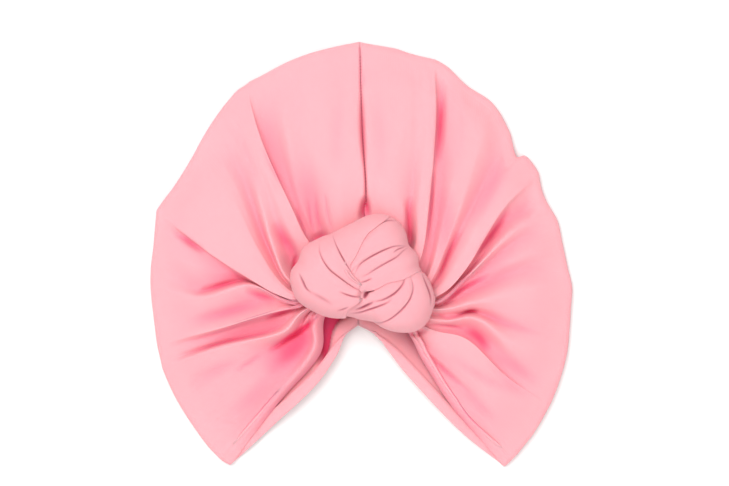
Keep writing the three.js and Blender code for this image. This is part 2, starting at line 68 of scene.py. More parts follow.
# The knot: its middle, with the height of its outline, how far its dome rises over that and its
# underside lies under it, and the powers of the superellipses that these two are
KNOT = {"x": 0.9, "y": -18.4, "middle": 23.5, "dome": 23, "under": 7.3, "powers": (4.2, 3)}
KNOT_MIDDLE = np.array([KNOT["x"], KNOT["y"]])

# Share of the knot's reach where its top ends and the round of its side begins
SHOULDER = 0.8

# One row for each line of the crown's front, clockwise from brim to seam: where it leaves the
# knot (near), two places on the crown (mid, far), each with its height, and the rim, with the
# radius of the cloth's turn there
FOLD_COLUMNS = (
    "near_x", "near_y", "near_z", "mid_x", "mid_y", "mid_z",
    "far_x", "far_y", "far_z", "rim_x", "rim_y", "rim_r",
)
LEFT_FOLDS = {
    "brim_edge": (-21.6, -37, 12.5, -24.6, -59.5, 10.5, -48.9, -87.8, 8.5, -78, -124.3, 2.5),
    "brim_lip": (-27, -36.8, 19, -28.6, -57.2, 17, -51.4, -85.8, 12.5, -80.5, -123, 2.7),
    "hem_line": (-29.4, -36.5, 14, -31.6, -55.8, 13, -54.2, -83.6, 11.5, -83.3, -121, 2.9),
    "brim_panel": (-30.6, -35.9, 14, -37, -53, 11.5, -61, -79.5, 15, -92, -111.5, 3.4),
    "low_valley": (-31.2, -35.4, 11, -42.5, -50, 10.5, -74, -68, 14.5, -108, -87.5, 3.8),
    "low_ridge": (-34, -33.6, 21, -47.5, -46.5, 20.5, -83, -54, 17, -117, -68, 4),
    "band_valley": (-35.2, -32.6, 15, -52.8, -44.3, 11, -84, -53, 11, -118, -63.5, 4),
    "band_foot": (-36.2, -31.8, 14, -54.3, -37.8, 11.5, -85, -46.8, 12, -119.3, -58, 4),
    "band_crest": (-37.2, -30.9, 21, -55, -35.3, 21, -85, -44.4, 17, -120.3, -53.5, 4),
    "side_valley": (-38.4, -29.6, 15, -59.5, -27.5, 13.5, -88, -37.5, 13.5, -122, -40, 4),
    "side_ridge": (-39, -28.9, 20, -65, -18.3, 19, -92, -26, 17, -124, -22, 4),
    "pocket_valley": (-39.4, -28.3, 15, -68, -15.8, 9.5, -94, -20.8, 11.5, -124, -9, 4),
    "pocket_swell": (-39.7, -27.8, 15.5, -69.5, -14.4, 10.5, -97, -7, 15, -122.5, 4, 4),
    "corner_foot": (-40, -27.3, 16, -69.6, -13.4, 13.5, -98.2, 4.6, 13, -121.3, 18, 4),
    "corner_crest": (-40.3, -26.7, 20.5, -69, -12.6, 20.5, -97.5, 6.6, 17, -120.5, 25.5, 4.2),
    "side_panel": (-41, -24.5, 20.5, -64, -2, 22, -90, 26, 18, -110, 40, 4.4),
    "side_panel_top": (-41.3, -22.3, 20, -60.5, 1.5, 21, -81, 39, 17.5, -100, 56, 4.4),
    "soft_border": (-41.4, -20.5, 17, -59, 3.5, 18, -75.5, 42, 16, -93.5, 68, 4.4),
    "soft_valley": (-41.5, -19, 14.5, -55.5, 5, 13, -69.5, 44.5, 12.5, -88, 77, 4.4),
    "narrow_ridge": (-41.5, -16, 20.5, -51.5, 4, 21, -64, 48, 17, -82, 85.5, 4.4),
    "black_valley": (-39.3, -7, 12, -46.5, 8.5, 15.5, -60.5, 50, 18, -77.5, 91, 4.4),
    "pleat_panel": (-34.8, 1, 19, -43.5, 18.5, 20, -58.5, 56, 18.5, -73, 96, 4.4),
    "pleat_crest": (-30.5, 6.8, 20.5, -41, 27.5, 20.5, -57.5, 64, 18, -68.5, 99, 4.4),
    "pleat_foot": (-29.4, 7.2, 13, -39.8, 28, 13.5, -56, 64.6, 10.5, -65.5, 101.3, 4.4),
    "hollow_valley": (-27.5, 8, 12.5, -38.3, 29.8, 13, -49.5, 67, 12.5, -58, 105, 4.4),
    "small_ridge": (-25.5, 8.8, 14, -36, 31.5, 14.2, -42, 67, 17, -47, 111, 4.4),
    "knot_valley": (-22, 9.8, 13, -30, 33, 13, -34, 65, 16, -38, 115, 4.4),
    "front_border": (-17.5, 11.5, 16.5, -22.3, 35, 17.5, -26, 66, 18.5, -28, 118.5, 4.4),
    "front_panel": (-9.5, 15.4, 18.5, -11, 38, 20.5, -12.5, 70, 19, -13, 122.2, 4.4),
    "seam_shoulder": (-2.3, 19, 18, 0.9, 39, 20, -1.5, 72, 18.5, -2.5, 124.3, 4.4),
    "seam": (2, 20.8, 14.5, 2.6, 39, 17, 0.5, 72, 16, -1, 124.5, 3.8),
}
RIGHT_FOLDS = {
    "seam": LEFT_FOLDS["seam"],
    "seam_shoulder": (6.2, 21.4, 18, 4.1, 39, 20, 2.6, 72, 18.5, 0.6, 124, 4.4),
    "front_panel": (16, 21.7, 19, 16.5, 41, 20.5, 19, 76, 19, 20, 120.5, 4.4),
    "front_border": (24, 15.5, 17.5, 24, 36, 18.5, 28, 76, 18.5, 28, 117.8, 4.4),
    "knot_valley": (28, 5.5, 10.5, 29, 31, 15.5, 33, 77, 17.5, 34, 116.2, 4.4),
    "tall_ridge": (31, 1.8, 19.5, 34, 28, 20.5, 38.5, 77, 19, 38.5, 115.2, 4.4),
    "tall_crest": (34.2, -3.5, 20.5, 39.3, 27, 20.5, 43.6, 78, 18.5, 42.8, 114.2, 4.4),
    "tall_foot": (35.2, -8, 13.5, 40.4, 26.5, 14, 44.9, 78, 12.5, 45.5, 113, 4.4),
    "tall_valley": (37.2, -11, 13, 44.5, 25.5, 14, 49.5, 77, 14, 51, 109.5, 4.4),
    "side_panel": (38.8, -13.5, 17, 49, 22, 18.5, 60, 74, 17.5, 62, 98.8, 4.4),
    "side_panel_low": (40.2, -16, 17.5, 53.5, 17, 19, 69, 64, 17.5, 77, 88.5, 4.4),
    "soft_valley": (41.5, -18.5, 12.5, 56, 10, 14, 74, 48, 12.5, 87, 72, 4.4),
    "notch": (42, -20, 14.5, 57, 6.5, 16, 76.5, 43, 15, 91.3, 57, 4.2),
    "shoulder_panel": (42.7, -21.5, 18, 58.3, -1.5, 19.5, 79, 35, 17.5, 96.5, 57.5, 4.6),
    "shoulder_crest": (43.7, -25, 20, 60.5, -9.5, 21, 82.5, 25.5, 18, 104, 48, 4.4),
    "shoulder_foot": (44, -26.5, 15, 61, -10.7, 13, 84, 23.5, 12.5, 106, 38.5, 4.2),
    "wedge_valley": (44.1, -27.4, 15, 61.8, -11.6, 14, 86, 18.5, 10.5, 108.3, 32, 4.2),
    "narrow_ridge": (44.2, -28.4, 20, 62.3, -12.6, 19.5, 88, 12.5, 16, 111, 27, 4.2),
    "narrow_foot": (44.2, -29.4, 14, 64, -14, 12.5, 91.5, 7.5, 12, 115.5, 19, 4.2),
    "side_swell": (44.1, -30.3, 13.5, 66, -16.8, 13.5, 93, -1.5, 15, 118.3, 6, 4),
    "upper_valley": (44, -31.1, 13, 67.3, -20.5, 12, 94, -9.5, 12, 121.3, -8, 4),
    "bright_ridge": (43.6, -32.5, 20, 67, -27.7, 20.5, 94, -22.3, 17, 124, -20, 4),
    "ridge_shoulder": (43.2, -33.8, 18.5, 67.3, -31, 18, 93, -33, 16, 123.3, -32, 4),
    "curved_valley": (42.5, -35.4, 15.5, 67.5, -34.6, 13, 91.5, -43.6, 14, 122.5, -44.5, 4),
    "low_ridge": (41.2, -38.2, 19.5, 67, -38, 19.5, 90, -53.5, 17, 121, -59, 4),
    "low_valley": (39.7, -41, 16, 65.5, -45, 12, 88.5, -64, 13, 115.8, -77.5, 4),
    "low_foot": (38.6, -42.2, 16, 63.5, -49.6, 12, 85.5, -70.5, 13, 112, -87, 4),
    "panel_crest": (37.6, -43, 19, 61.5, -50, 20, 83.5, -71, 17, 110, -91, 4),
    "brim_panel": (34, -45.2, 17.5, 53, -58, 19, 75, -83, 16, 102, -105, 3.8),
    "brim_crease": (31, -46.3, 14.5, 44.8, -64.3, 14, 64, -87.5, 14, 91.5, -118.5, 3.4),
    "hem_line": (29.6, -46.5, 16, 40.5, -61.9, 15, 58.7, -90.8, 12.8, 88.5, -121.7, 3),
    "brim_lip": (28.8, -46.5, 16.5, 38.6, -62.7, 15.5, 57.5, -91.7, 12.5, 86.7, -123.3, 2.9),
    "brim_edge": (27.4, -46.5, 14.5, 36.6, -63.8, 12.5, 55.7, -93.2, 9.5, 84.8, -125, 2.7),
}

# The share of a fold's way at its five places: ring, near, mid, far and rim
PLACES = np.array([0, 0.1, 0.41, 0.73, 1])

# Where one fold lies over the next, a tuck runs back below the crest from its foot. The columns
# are its depth in millimetres at the near, mid and far places.
LEFT_TUCKS = {
    ("band_crest", "band_foot"): (0.6, 1, 0.3),
    ("corner_crest", "corner_foot"): (0.8, 1.2, 0.8),
    ("pleat_crest", "pleat_foot"): (1, 1.2, 1.2),
}
RIGHT_TUCKS = {
    ("tall_crest", "tall_foot"): (0.8, 1, 1),
    ("shoulder_crest", "shoulder_foot"): (0.8, 1.6, 0.4),
    ("panel_crest", "low_foot"): (0.4, 1.2, 0.2),
}

# Creases and small ridges: the places they run through, half width, height, which is below 0 in
# a crease, and how far the cloth on the left of their way stands over that on the right
STROKE_COLUMNS = ("points", "width", "height", "lean")
LEFT_STROKES = {
    "pocket": (((-65.5, -15.2), (-71, -13.8), (-78, -10)), 1.8, -0.9, 0),
    "pocket_tail": (((-66, -15.6), (-82, -18.6), (-99, -24.2)), 1.6, -2.5, 0),
    "side_dark": (((-50, -27), (-60, -24), (-68, -21.5)), 2, -3, 0),
    "side_dark_low": (((-56, -29.5), (-78, -34), (-102, -41)), 3.2, -2, 0),
    "gather_dark": (((-36, -31.2), (-46, -34.4), (-57, -38)), 1.4, -3.5, 0),
    "band_line": (((-60, -38.5), (-82, -45.5), (-112, -54.5)), 1, -1.5, 0),
    "low_dark": (((-22, -31), (-29, -39.5), (-36, -45.2), (-43, -49.5), (-55, -58)), 1.6, -4, -1),
    "band_soft": (((-58, -43), (-74, -47.5), (-92, -52)), 2.5, -0.9, 0),
    "low_crease": (((-58, -58.5), (-67, -64.5), (-75, -70)), 1.2, -1.5, 0),
    "low_fold": (((-70, -62), (-88, -70), (-104, -84)), 3.5, -1.4, 0),
    "low_soft": (((-97, -82), (-98, -74), (-91, -67)), 1.8, -0.8, 0),
    "tip_soft": (((-100, -104), (-88, -100), (-70, -99)), 2, -0.8, 0),
    "panel_dip": (((-48, -66), (-62, -82), (-82, -100)), 4.5, -1.6, 0),
    "stripe_1": (((-31.5, 8), (-35.2, 17), (-38.5, 27)), 1, -1.5, 0),
    "stripe_2": (((-26.5, 9), (-29.5, 19), (-31.5, 33)), 1, -1.5, 0),
    "stripe_3": (((-22.5, 10), (-25.5, 21), (-27, 36)), 0.9, -1.5, 0),
    "stripe_4": (((-16.5, 12), (-19.3, 22), (-21.5, 36)), 0.9, -1.5, 0),
    "black_line": (((-39.8, -22), (-39.6, -8), (-37.5, 1)), 1.1, -3, 0),
    "ridge_side": (((-47, -12), (-53.5, 3), (-61.5, 25)), 1, -1.2, 0),
    "panel_soft": (((-78, 78), (-68, 62), (-58, 30)), 3, -0.8, 0),
    "front_dip": (((-13, 100), (-14, 75), (-15, 45)), 4, -0.8, 0),
    "corner_dark": (((-91, 0.5), (-98, 4.8), (-104, 9), (-112, 13.5)), 1.8, -3.5, 0),
    "black_pit": (((-38.5, -6), (-40, 2), (-45, 9), (-51, 19)), 3.4, -3.5, 0),
    "pleat_dark": (((-58, 62), (-50.5, 47), (-45, 37)), 1.1, -1.8, 0),
    "knot_edge": (((-30, 7), (-24, 9.5), (-19, 11)), 2.5, -2.5, 0),
    "seam_pit": (((2.2, 34), (1.2, 27), (0, 19)), 2, -4, 0),
    "seam_groove": (((-0.5, 94), (0, 74), (1.5, 50)), 1.3, -2.4, 0),
    "seam_top": (((0.5, 108), (0.5, 102), (0, 96)), 1.2, -1.6, 0),
    "low_deep": (((-27, -42), (-36, -52), (-46, -62), (-56, -70)), 5.5, -2.6, 0),
    "band_low": (((-46, -43.5), (-62, -48.4), (-80, -52.3), (-98, -57.5), (-116, -63)), 1.2, -2.6, 0),
}
RIGHT_STROKES = {
    "dimple": (((11, 123), (18, 114), (22, 104)), 1.8, -1, 0),
    "knot_dark": (((30.5, 4), (27.5, 16), (28, 34)), 2, -3, 0),
    "tall_dark": (((38.5, 4), (40.6, 26), (42.2, 50)), 1, -2.2, 0),
    "tall_wedge": (((43.8, 50), (46, 72), (47.5, 104)), 2.3, -3.8, 0),
    "soft_dark": (((43.5, -21), (50, -2), (58, 14)), 1.8, -2.5, 0),
    "wedge_line": (((49.5, -27.4), (65, -8.5), (76, 4)), 0.9, -2.2, 0),
    "wedge_black": (((66, -2), (77, 12), (87, 27)), 2, -3.3, 0),
    "upper_dark": (((46, -32), (58, -21.5), (76, -12)), 1.5, -3, 0),
    "curve_dark": (((42.5, -35.5), (50, -37.6), (57, -36.4), (63.5, -33.8), (70, -34.2)), 1.1, -3.2, 0),
    "curve_tail": (((68, -33.8), (86, -41.5), (106, -47.5)), 2, -1.4, 0),
    "low_black": (((60, -44.5), (68, -48.5), (75, -57.5)), 2.4, -3, 0),
    "low_dark": (((78, -58), (93, -68.5), (110, -80)), 3.2, -1.6, 0),
    "brim_fold": (((35, -55.5), (45, -64.5), (55, -73.5), (64, -81.5)), 1.1, -2.4, 1),
    "under_knot": (((24, -47.5), (33, -46.5), (39, -44)), 1.4, -2.5, 0),
    "front_soft": (((9, 96), (11, 70), (11, 40)), 4, -0.8, 0),
    "side_soft": (((56, 96), (58, 70), (52, 40)), 4, -0.5, 0),
    "seam_pit": (((2.6, 34), (3.6, 27), (4.4, 20)), 1.5, -4, 0),
    "seam_groove": (((0.3, 94), (0.8, 74), (2.2, 50)), 1.3, -2.4, 0),
    "seam_top": (((1.2, 108), (1.3, 102), (0.8, 96)), 1.2, -1.6, 0),
    "curve_spot": (((60, -35), (64.5, -33.6), (69, -34)), 1.4, -2, 0),
    "low_line": (((38.5, -41.3), (46, -41.7), (54, -42.6), (62, -45.5)), 0.8, -2, 0),
    "panel_fold": (((50, -57), (64, -68), (78, -76), (95, -82)), 3, -1.3, 0),
    "panel_fold_low": (((58, -77), (70, -90), (80, -99)), 3, -1.2, 0),
    "panel_fold_top": (((72, -62), (88, -76), (103, -87)), 3, -1.3, 0),
    "brim_line": (((52, -89), (66, -106), (82, -123)), 0.8, -1.4, 0),
    "tall_top": (((46, 92), (47, 103), (45, 113)), 2.5, -1.2, 0),
    "tall_low": (((46, -4), (49, 14), (50, 40)), 5, -1.6, 0),
    "shoulder_soft": (((64, 16), (77, 40), (89, 64)), 5, -2, 0),
    "wedge_soft": (((92, 19), (99, 29), (105, 41)), 5, -1.6, 0),
}

# The back sheet: its brim edge on either side from the tip to the mouth's rounded top, the share
# of that way at each place, and the two places under the knot between which the rays end
BACK = {
    "left": ((-55, -102.5), (-27, -76), (-14.3, -58), (-9, -47.5)),
    "right": ((57, -102), (27, -70), (14, -54.3), (6.5, -46.6)),
    "places": (0, 0.33, 0.68, 0.86, 0.95, 1),
    "mouth_top": (-2, -41.8),
    "hidden_end": (-2, -36),
}

# The back's raised hem: its height at the tip and the mouth and its width, over which shares of
# the way between them it starts and rises, and how far past it the cloth takes the painted shade
# of the inside
BACK_HEM = {"heights": (3, 8), "width": 13, "starts": (0, 0.2), "rises": (0.25, 0.6), "inside": (5, 17)}

# The slot between the layers on the left: where along the way it opens and closes and the hem
# beside it widens, the hem's widths, how wide the step past it is, and its share of fall and of
# painted shade
SLOT = {
    "opens": (0.72, 0.8), "closes": (0.93, 1), "widens": (0.8, 0.92),
    "hem": (2.5, 6.5), "step": 1.8, "fall": 0.6, "shade": 0.9,
}

# Steps of the grids: for the crown's front and back the place of a bend in their spacing and the
# rows before and after it, then round the rim, round a hem and along its strip, along a lobe's
# pleats and where its ends and side run on, and the fewest columns between two folds or pleats
STEPS = {
    "front": (0.1, 8, 104), "back": (0.7, 16, 25), "rim": 10, "hem": 9, "strip": 4,
    "pleats": 142, "ends": 24, "side": 6, "least_fold": 3, "least_pleat": 4,
}

# The least and the full radius and reach of a hem
BRIM_HEM = {"radius": (0.5, 1.2), "reach": (1, 6)}
LOBE_HEM = {"radius": (0.1, 0.9), "reach": (0.3, 3)}

# Height of the ridges at a fold's five places, and how far below them the cloth has its full
# painted shade
RIDGES = (19.5, 19.5, 20, 17, 12)
FULL_DEPTH = 10

# Painted shade on the crown's cloth, where 1 is its deepest colour: in a fold, with the power of
# its rise, for each millimetre of a crease, with the most that counts, in the seam, with its
# width, and on the inner side. It stands in for the shade and bounced light in these hollows.
PAINTED_SHADE = {
    "fold": 0.5, "power": 1.3, "crease": 0.1, "deepest": 4,
    "seam": 0.2, "seam_width": 0.9, "inside": 0.4,
}

# Low waves of worn cloth: height, seed, and for each kind how many lie across a panel and
# through how many radians they sway along a fold
RIPPLE = {"height": 0.3, "seed": 7}
RIPPLES = ((6, 4.8), (11, 3.2), (17, 6.4), (26, 2.8), (37, 4.4))

# A stroke's spacing of points in millimetres, how many of its widths out its bell and its lean
# end, and how many wide and how sharp the lean is
STROKE = {"step": 0.6, "bell_end": 3, "lean_end": 6, "lean_width": 3, "lean_sharp": 4}

# The shares of the way over which the crown's relief fades beside the knot and the rim, its painted
# shade fades out, its folds bend to the round rim, and the brim's hem narrows to the mouth
FADE = {"knot": 0.06, "rim": 0.1, "shade": 0.25, "round": 0.4, "mouth": 0.15}

# The seam's thread in millimetres: the stitches' pitch, half length, radius and slant, how high
# they stand over the seam, and how far from the rim they start and stop, then how many rings and
# sides each has, and its bow and its thinning at the ends as shares of height and thickness
STITCH = {
    "pitch": 1.9, "half": 1, "radius": 0.22, "slant": 0.4, "over": 1.1, "from": 4, "to": 98,
    "rings": 9, "sides": 8, "bow": 1.5, "thin": 0.8,
}

# One row for each pleat line of a knot lobe, from where it starts over three places to where it
# ends, and the cloth's height over the knot's dome, below 0 in a groove.
PLEAT_COLUMNS = ("x0", "y0", "x1", "y1", "x2", "y2", "x3", "y3", "x4", "y4", "lift")
LEFT_PLEATS = {
    "upper_edge": (3, -20.6, -6.6, -8.8, -3.5, -1, 3.4, 11.2, 15, 20.6, 0),
    "top_panel": (2.4, -21, -7.6, -8.6, -7.5, -0.5, -3, 8.5, 4, 21.3, 0.8),
    "upper_line": (2, -21.3, -8.4, -8.8, -11.5, -1.5, -14.2, 4.5, -16.5, 11, 0.3),
    "mid_panel": (1.6, -21.6, -9.6, -11.5, -15, -5, -18.6, 1, -21, 9.2, 0.8),
    "mid_line": (1.2, -22, -10, -15.5, -17.6, -9.5, -22.8, -2, -25.5, 7.6, 0.2),
    "wide_panel": (0.8, -22.8, -10.5, -20, -20, -16, -28, -10, -36.5, -6, 1),
    "side_panel": (0.6, -23.6, -10.5, -25, -21, -24.8, -31, -21.5, -41, -15, 0.8),
    "low_panel": (0.5, -24.4, -8.6, -26.8, -17, -29.4, -26, -31, -37, -27.5, 0.6),
    "under_panel": (0.5, -25, -6, -28.2, -11.6, -31.1, -17.2, -34.2, -23, -37, 0.4),
    "lower_edge": (1.1, -25.6, -4.4, -29.4, -7.8, -31.7, -9, -34, -9.5, -36.6, 0),
}
UPPER_PLEATS = {
    "upper_edge": (-10, -8, -7, 0, -2, 8, 4, 16, 13, 22.3, -0.6),
    "top_roll": (-8.5, -9.5, -3, -1, 3.5, 7.5, 11, 15, 20, 20, 0.6),
    "top_panel": (-7.5, -11, -0.5, -3.5, 8, 3.5, 16.5, 9, 26, 12, 0.9),
    "upper_line": (-6.5, -12.5, 0, -5.3, 8.5, -0.5, 17.5, 3.4, 27.9, 5, 0.2),
    "mid_panel": (-5, -14.5, 1.7, -10, 10, -4.5, 19, 0, 28.6, 3.9, 0.5),
    "lower_line": (-4, -16.5, 3, -12.2, 10.5, -7.5, 20, -2.2, 29.5, 2.8, 0.2),
    "low_panel": (-2.5, -19, 6.5, -15.8, 14, -12, 23, -7.5, 32.5, -2, 0.8),
    "lower_edge": (0, -22, 8.5, -19.7, 15, -16.4, 24, -14, 34, -9.4, 0),
}
LOWER_PLEATS = {
    "inner_edge": (18, -10.5, 9, -15, 2, -19, -3.5, -22.5, -9, -25.5, 0),
    "inner_panel": (22, -11, 16.5, -19, 9, -24, 2, -28, -9, -30.5, 0.5),
    "inner_line": (25, -11.5, 21.5, -20.5, 13, -26.8, 3.5, -31, -10, -32.5, 0.1),
    "main_panel": (27, -11, 26, -23, 18, -31, 6, -35, -11, -34, 0.8),
    "outer_line": (29.5, -10.5, 29.5, -24.5, 22, -34.5, 9, -39.5, -11.5, -35, 0.1),
    "outer_panel": (32.5, -9.5, 37, -24, 31, -38, 15, -43, -12, -36, 0.8),
    "outer_edge": (35, -8.5, 43.4, -26, 38, -41.5, 19, -46.3, -12.5, -36.8, 0),
}

# The knot's creases, in the columns of the crown's
LEFT_CREASES = {
    "upper": (((-16.3, 10.5), (-15, 6), (-11, -2), (-7, -8.5), (-4, -12)), 0.42, -1.1, 0),
    "middle": (((-24, 6), (-23.5, 0), (-19, -8), (-12, -14), (-4, -19.5), (2, -22)), 0.42, -1.2, 0),
    "side": (((-35.3, -11), (-33, -16), (-31, -20), (-28, -22.5)), 0.55, -1.3, 0),
    "side_end": (((-29.5, -21.5), (-22, -25.5), (-16, -29)), 0.9, -0.5, 0),
    "small": (((-13, -21.5), (-8, -23.5), (-4, -24.5), (0.5, -24.5)), 0.5, -1, 0),
    "low": (((-14, -32.3), (-10, -31.3), (-7, -30)), 0.5, -0.8, 0),
}
UPPER_CREASES = {
    "top": (((4, 12.8), (8, 15.6), (12, 18), (15, 19), (20.5, 18.8)), 0.45, -1.2, 0),
    "top_double": (((4.5, 14), (9, 18), (13.5, 20.3), (18, 21)), 0.45, -1, 0),
    "long": (((-4, -12.5), (-1, -6.5), (5, -2), (14, 2.5), (20, 4.4), (27.5, 4.2)), 0.42, -1.2, 0),
    "long_end": (((18, 0.3), (21, 2.5), (25.5, 4)), 0.45, -0.9, 0),
    "middle": (((-0.5, -14), (3, -12), (11, -7), (20, -2), (24, 1.5), (27.5, 4)), 0.42, -1.2, 0),
    "small": (((-1, -16.7), (2.5, -15.7), (6.5, -13.8)), 0.5, -0.9, 0),
}
LOWER_CREASES = {
    "hole": (((1.2, -26), (2.8, -23), (4, -21.3), (7.5, -20.3)), 0.9, -3, 0),
    "inner": (((24.6, -12), (24.3, -16.5), (20, -22), (13.5, -26), (7, -27.8)), 0.5, -1.4, 0),
    "spot": (((7.5, -27.3), (5, -28.8), (0, -31.5), (-4, -33)), 0.7, -1.6, 0),
    "inner_low": (((18, -25.5), (15, -28), (8, -31), (0, -34), (-7, -35)), 0.5, -1.4, 0),
    "main": (((28.7, -12), (30, -20), (27, -28), (18, -37), (11, -40.4), (4, -40)), 0.45, -1.3, 0),
    "outer": (((35, -10.5), (39, -20), (40.4, -25), (40.3, -31)), 0.5, -1.4, 0),
}

# The share of a pleat's length at its five places
PLEAT_PLACES = np.array([0, 0.3, 0.55, 0.78, 1])

# The knot's lobes: tables, lift over the dome, whether the pleats are turned round to face up, how
# far the ends and the last pleat run on under the knot, how deep the pleats dive into its middle,
# for each hem whether it is on the last edge or the first, and the flat size in metres
LOBE_COLUMNS = ("pleats", "creases", "lift", "turned", "ends", "side", "dive", "hems", "flat")
LOBES = {
    "left": (LEFT_PLEATS, LEFT_CREASES, 1.8, True, 1.25, 0, 4.8, (False, True), (0.06, 0.08)),
    "upper": (UPPER_PLEATS, UPPER_CREASES, 0, False, 1.25, 0, 0, (True,), (0.05, 0.055)),
    "lower": (LOWER_PLEATS, LOWER_CREASES, -1.8, True, 0, 1.25, 0, (), (0.05, 0.065)),
}

# The shares of a pleat's length over which it dives and its hem opens, the depth in millimetres
# of a crease with the deepest painted shade, and how much of a lift counts to each side and up
DIVE_LENGTH = 0.06
HEM_OPENS = 0.2
DEEP_CREASE = 1.5
LIFT_SHARE = np.array([0.4, 0.4, 1])

# The crown's two panels
SIDES = {
    "left": (LEFT_FOLDS, LEFT_TUCKS, LEFT_STROKES),
    "right": (RIGHT_FOLDS, RIGHT_TUCKS, RIGHT_STROKES),
}

# Soft square lights: place, size and watts
LIGHTS = {
    "key": ((-0.45, 0.6, 1.7), 1.1, 25.5),
    "fill": ((0.4, -0.9, 1.6), 1.6, 15.5),
}

# The camera looks straight down at this place, with the lens and sensor in millimetres, and sees
# this width in metres at the cap's mean height
VIEW = {"x": 0.00176, "y": 0.00665, "lens": 135, "sensor": 36, "width": 0.4268, "height": 0.012}
FLOOR_HALF = 2.0

# Scale of the faint mottle of the jersey's colour, whose patches are about 36 mm wide, and the
# length in metres of a wave texture's waves at a scale of 1
MOTTLE_SCALE = 28.0
WAVE = math.pi / 10

# The knot's outline from above, anticlockwise
KNOT_OUTLINE = np.array([
    (32, 0), (27.5, 5), (25, 13), (20, 19.5), (14, 22), (5, 21.5), (-5, 17), (-17, 11), (-26, 7.5),
    (-33, 3), (-36, -5), (-40.2, -11), (-39.6, -20), (-36.3, -26.8), (-29.4, -31.9), (-21.8, -35.4),
    (-8, -37), (-1, -38.8), (7, -40.5), (15, -45), (23, -46.7), (31, -46), (37.5, -42), (41, -36),
    (43.5, -27), (42, -20), (38, -12), (33.7, -8),
])


def linear(hex_colour):
    """An sRGB hex colour as linear red, green and blue."""
    share = np.array([int(hex_colour[i:i + 2], 16) for i in (0, 2, 4)]) / 255
    return tuple(np.where(share <= 0.04045, share / 12.92, ((share + 0.055) / 1.055) ** 2.4))


def smooth_step(values):
    """0 below 0, 1 above 1, and a smooth rise between."""
    share = np.clip(values, 0, 1)
    return share * share * (3 - 2 * share)


def rise_between(values, places):
    """A smooth rise from 0 at the first of two places to 1 at the second."""
    return smooth_step((values - places[0]) / (places[1] - places[0]))


def lengths_along(points):
    """How far each point of a line lies from its start, along the line."""
    return np.concatenate([[0], np.cumsum(np.linalg.norm(np.diff(points, axis=0), axis=1))])


def bent_steps(bend, before, after):
    """Steps from 0 to 1 in two spacings, before and after a bend."""
    return np.concatenate([np.linspace(0, bend, before)[:-1], np.linspace(bend, 1, after)])


def slopes(at, values, steady):
    """Slope of a cubic at each place: that of a smooth curve, or where steady the harmonic mean of
    the rises on either side, and none where the values turn, so nothing overshoots."""
    gap = np.diff(at).reshape(-1, *[1] * (values.ndim - 1))
    rise = np.diff(values, axis=0) / gap
    before, after = rise[:-1], rise[1:]
    if steady:
        both = before * after
        total = np.where(before + after == 0, 1, before + after)
        inner = np.where(both > 0, 2 * both / total, 0)
    else:
        inner = (values[2:] - values[:-2]) / (gap[:-1] + gap[1:])
    return np.concatenate([rise[:1], inner, rise[-1:]])


def curve(at, values, places, steady=True):
    """Cubic through values at the places of at, read at other places."""
    at, values, places = np.asarray(at, float), np.asarray(values, float), np.asarray(places, float)
    slope = slopes(at, values, steady)
    i = np.clip(np.searchsorted(at, places, side="right") - 1, 0, len(at) - 2)
    shape = (-1, *[1] * (values.ndim - 1))
    h = (at[i + 1] - at[i]).reshape(shape)
    s = (places - at[i]).reshape(shape) / h
    return (
        (1 + 2 * s) * (1 - s) ** 2 * values[i]
        + s * (1 - s) ** 2 * h * slope[i]
        + s * s * (3 - 2 * s) * values[i + 1]
        + s * s * (s - 1) * h * slope[i + 1]
    )


def unit(vectors):
    """Vectors of length one."""
    length = np.linalg.norm(vectors, axis=-1, keepdims=True)
    return vectors / np.maximum(length, 1e-9)


def grid_normals(grid):
    """Unit normal at each place of a grid: the way across crossed with the way along."""
    return unit(np.cross(np.gradient(grid, axis=0), np.gradient(grid, axis=1)))


def columns_of(table, names):
    """A table's rows as one array for each named column."""
    return dict(zip(names, np.array(list(table.values()), float).T))


def ring_points(near):
    """Place on the ring under the knot that faces each place at the knot's edge."""
    tilt = math.radians(RING["tilt"])
    away = np.arctan2(near[:, 1] - RING["y"], near[:, 0] - RING["x"]) - tilt
    reach = 1 / np.hypot(np.cos(away) / RING["long"], np.sin(away) / RING["short"])
    away = away + tilt
    return np.stack([RING["x"] + reach * np.cos(away), RING["y"] + reach * np.sin(away)], 1)


def fold_lines(table, steps):
    """Each fold as a curve from the ring through its near, mid and far places to where the turn
    round the rim begins, and that turn's direction and radius."""
    f = columns_of(table, FOLD_COLUMNS)
    places = ("near", "mid", "far", "rim")
    near, mid, far, rim = (np.stack([f[place + "_x"], f[place + "_y"]], 1) for place in places)
    away = unit(rim - far)
    end = rim - f["rim_r"][:, None] * away
    plan = curve(PLACES, np.stack([ring_points(near), near, mid, far, end]), steps, steady=False)
    ring_z = np.full_like(f["near_z"], RING["top"])
    height = np.stack([ring_z, f["near_z"], f["mid_z"], f["far_z"], 2 * f["rim_r"]])
    height = curve(PLACES, height, steps)
    lines = np.concatenate([plan, height[..., None]], axis=2).transpose(1, 0, 2)
    return lines, np.concatenate([away, f["rim_r"][:, None]], axis=1)


def column_places(lines, spacing, least):
    """Where the columns lie between the lines: each gap is cut into steps of about the spacing at
    its widest, and into no fewer than the least."""
    widest = np.linalg.norm(np.diff(lines, axis=0), axis=-1).max(axis=1)
    counts = np.maximum(least, np.ceil(widest / spacing)).astype(int)
    parts = [i + np.arange(n) / n for i, n in enumerate(counts)]
    return np.concatenate([*parts, [len(counts)]])


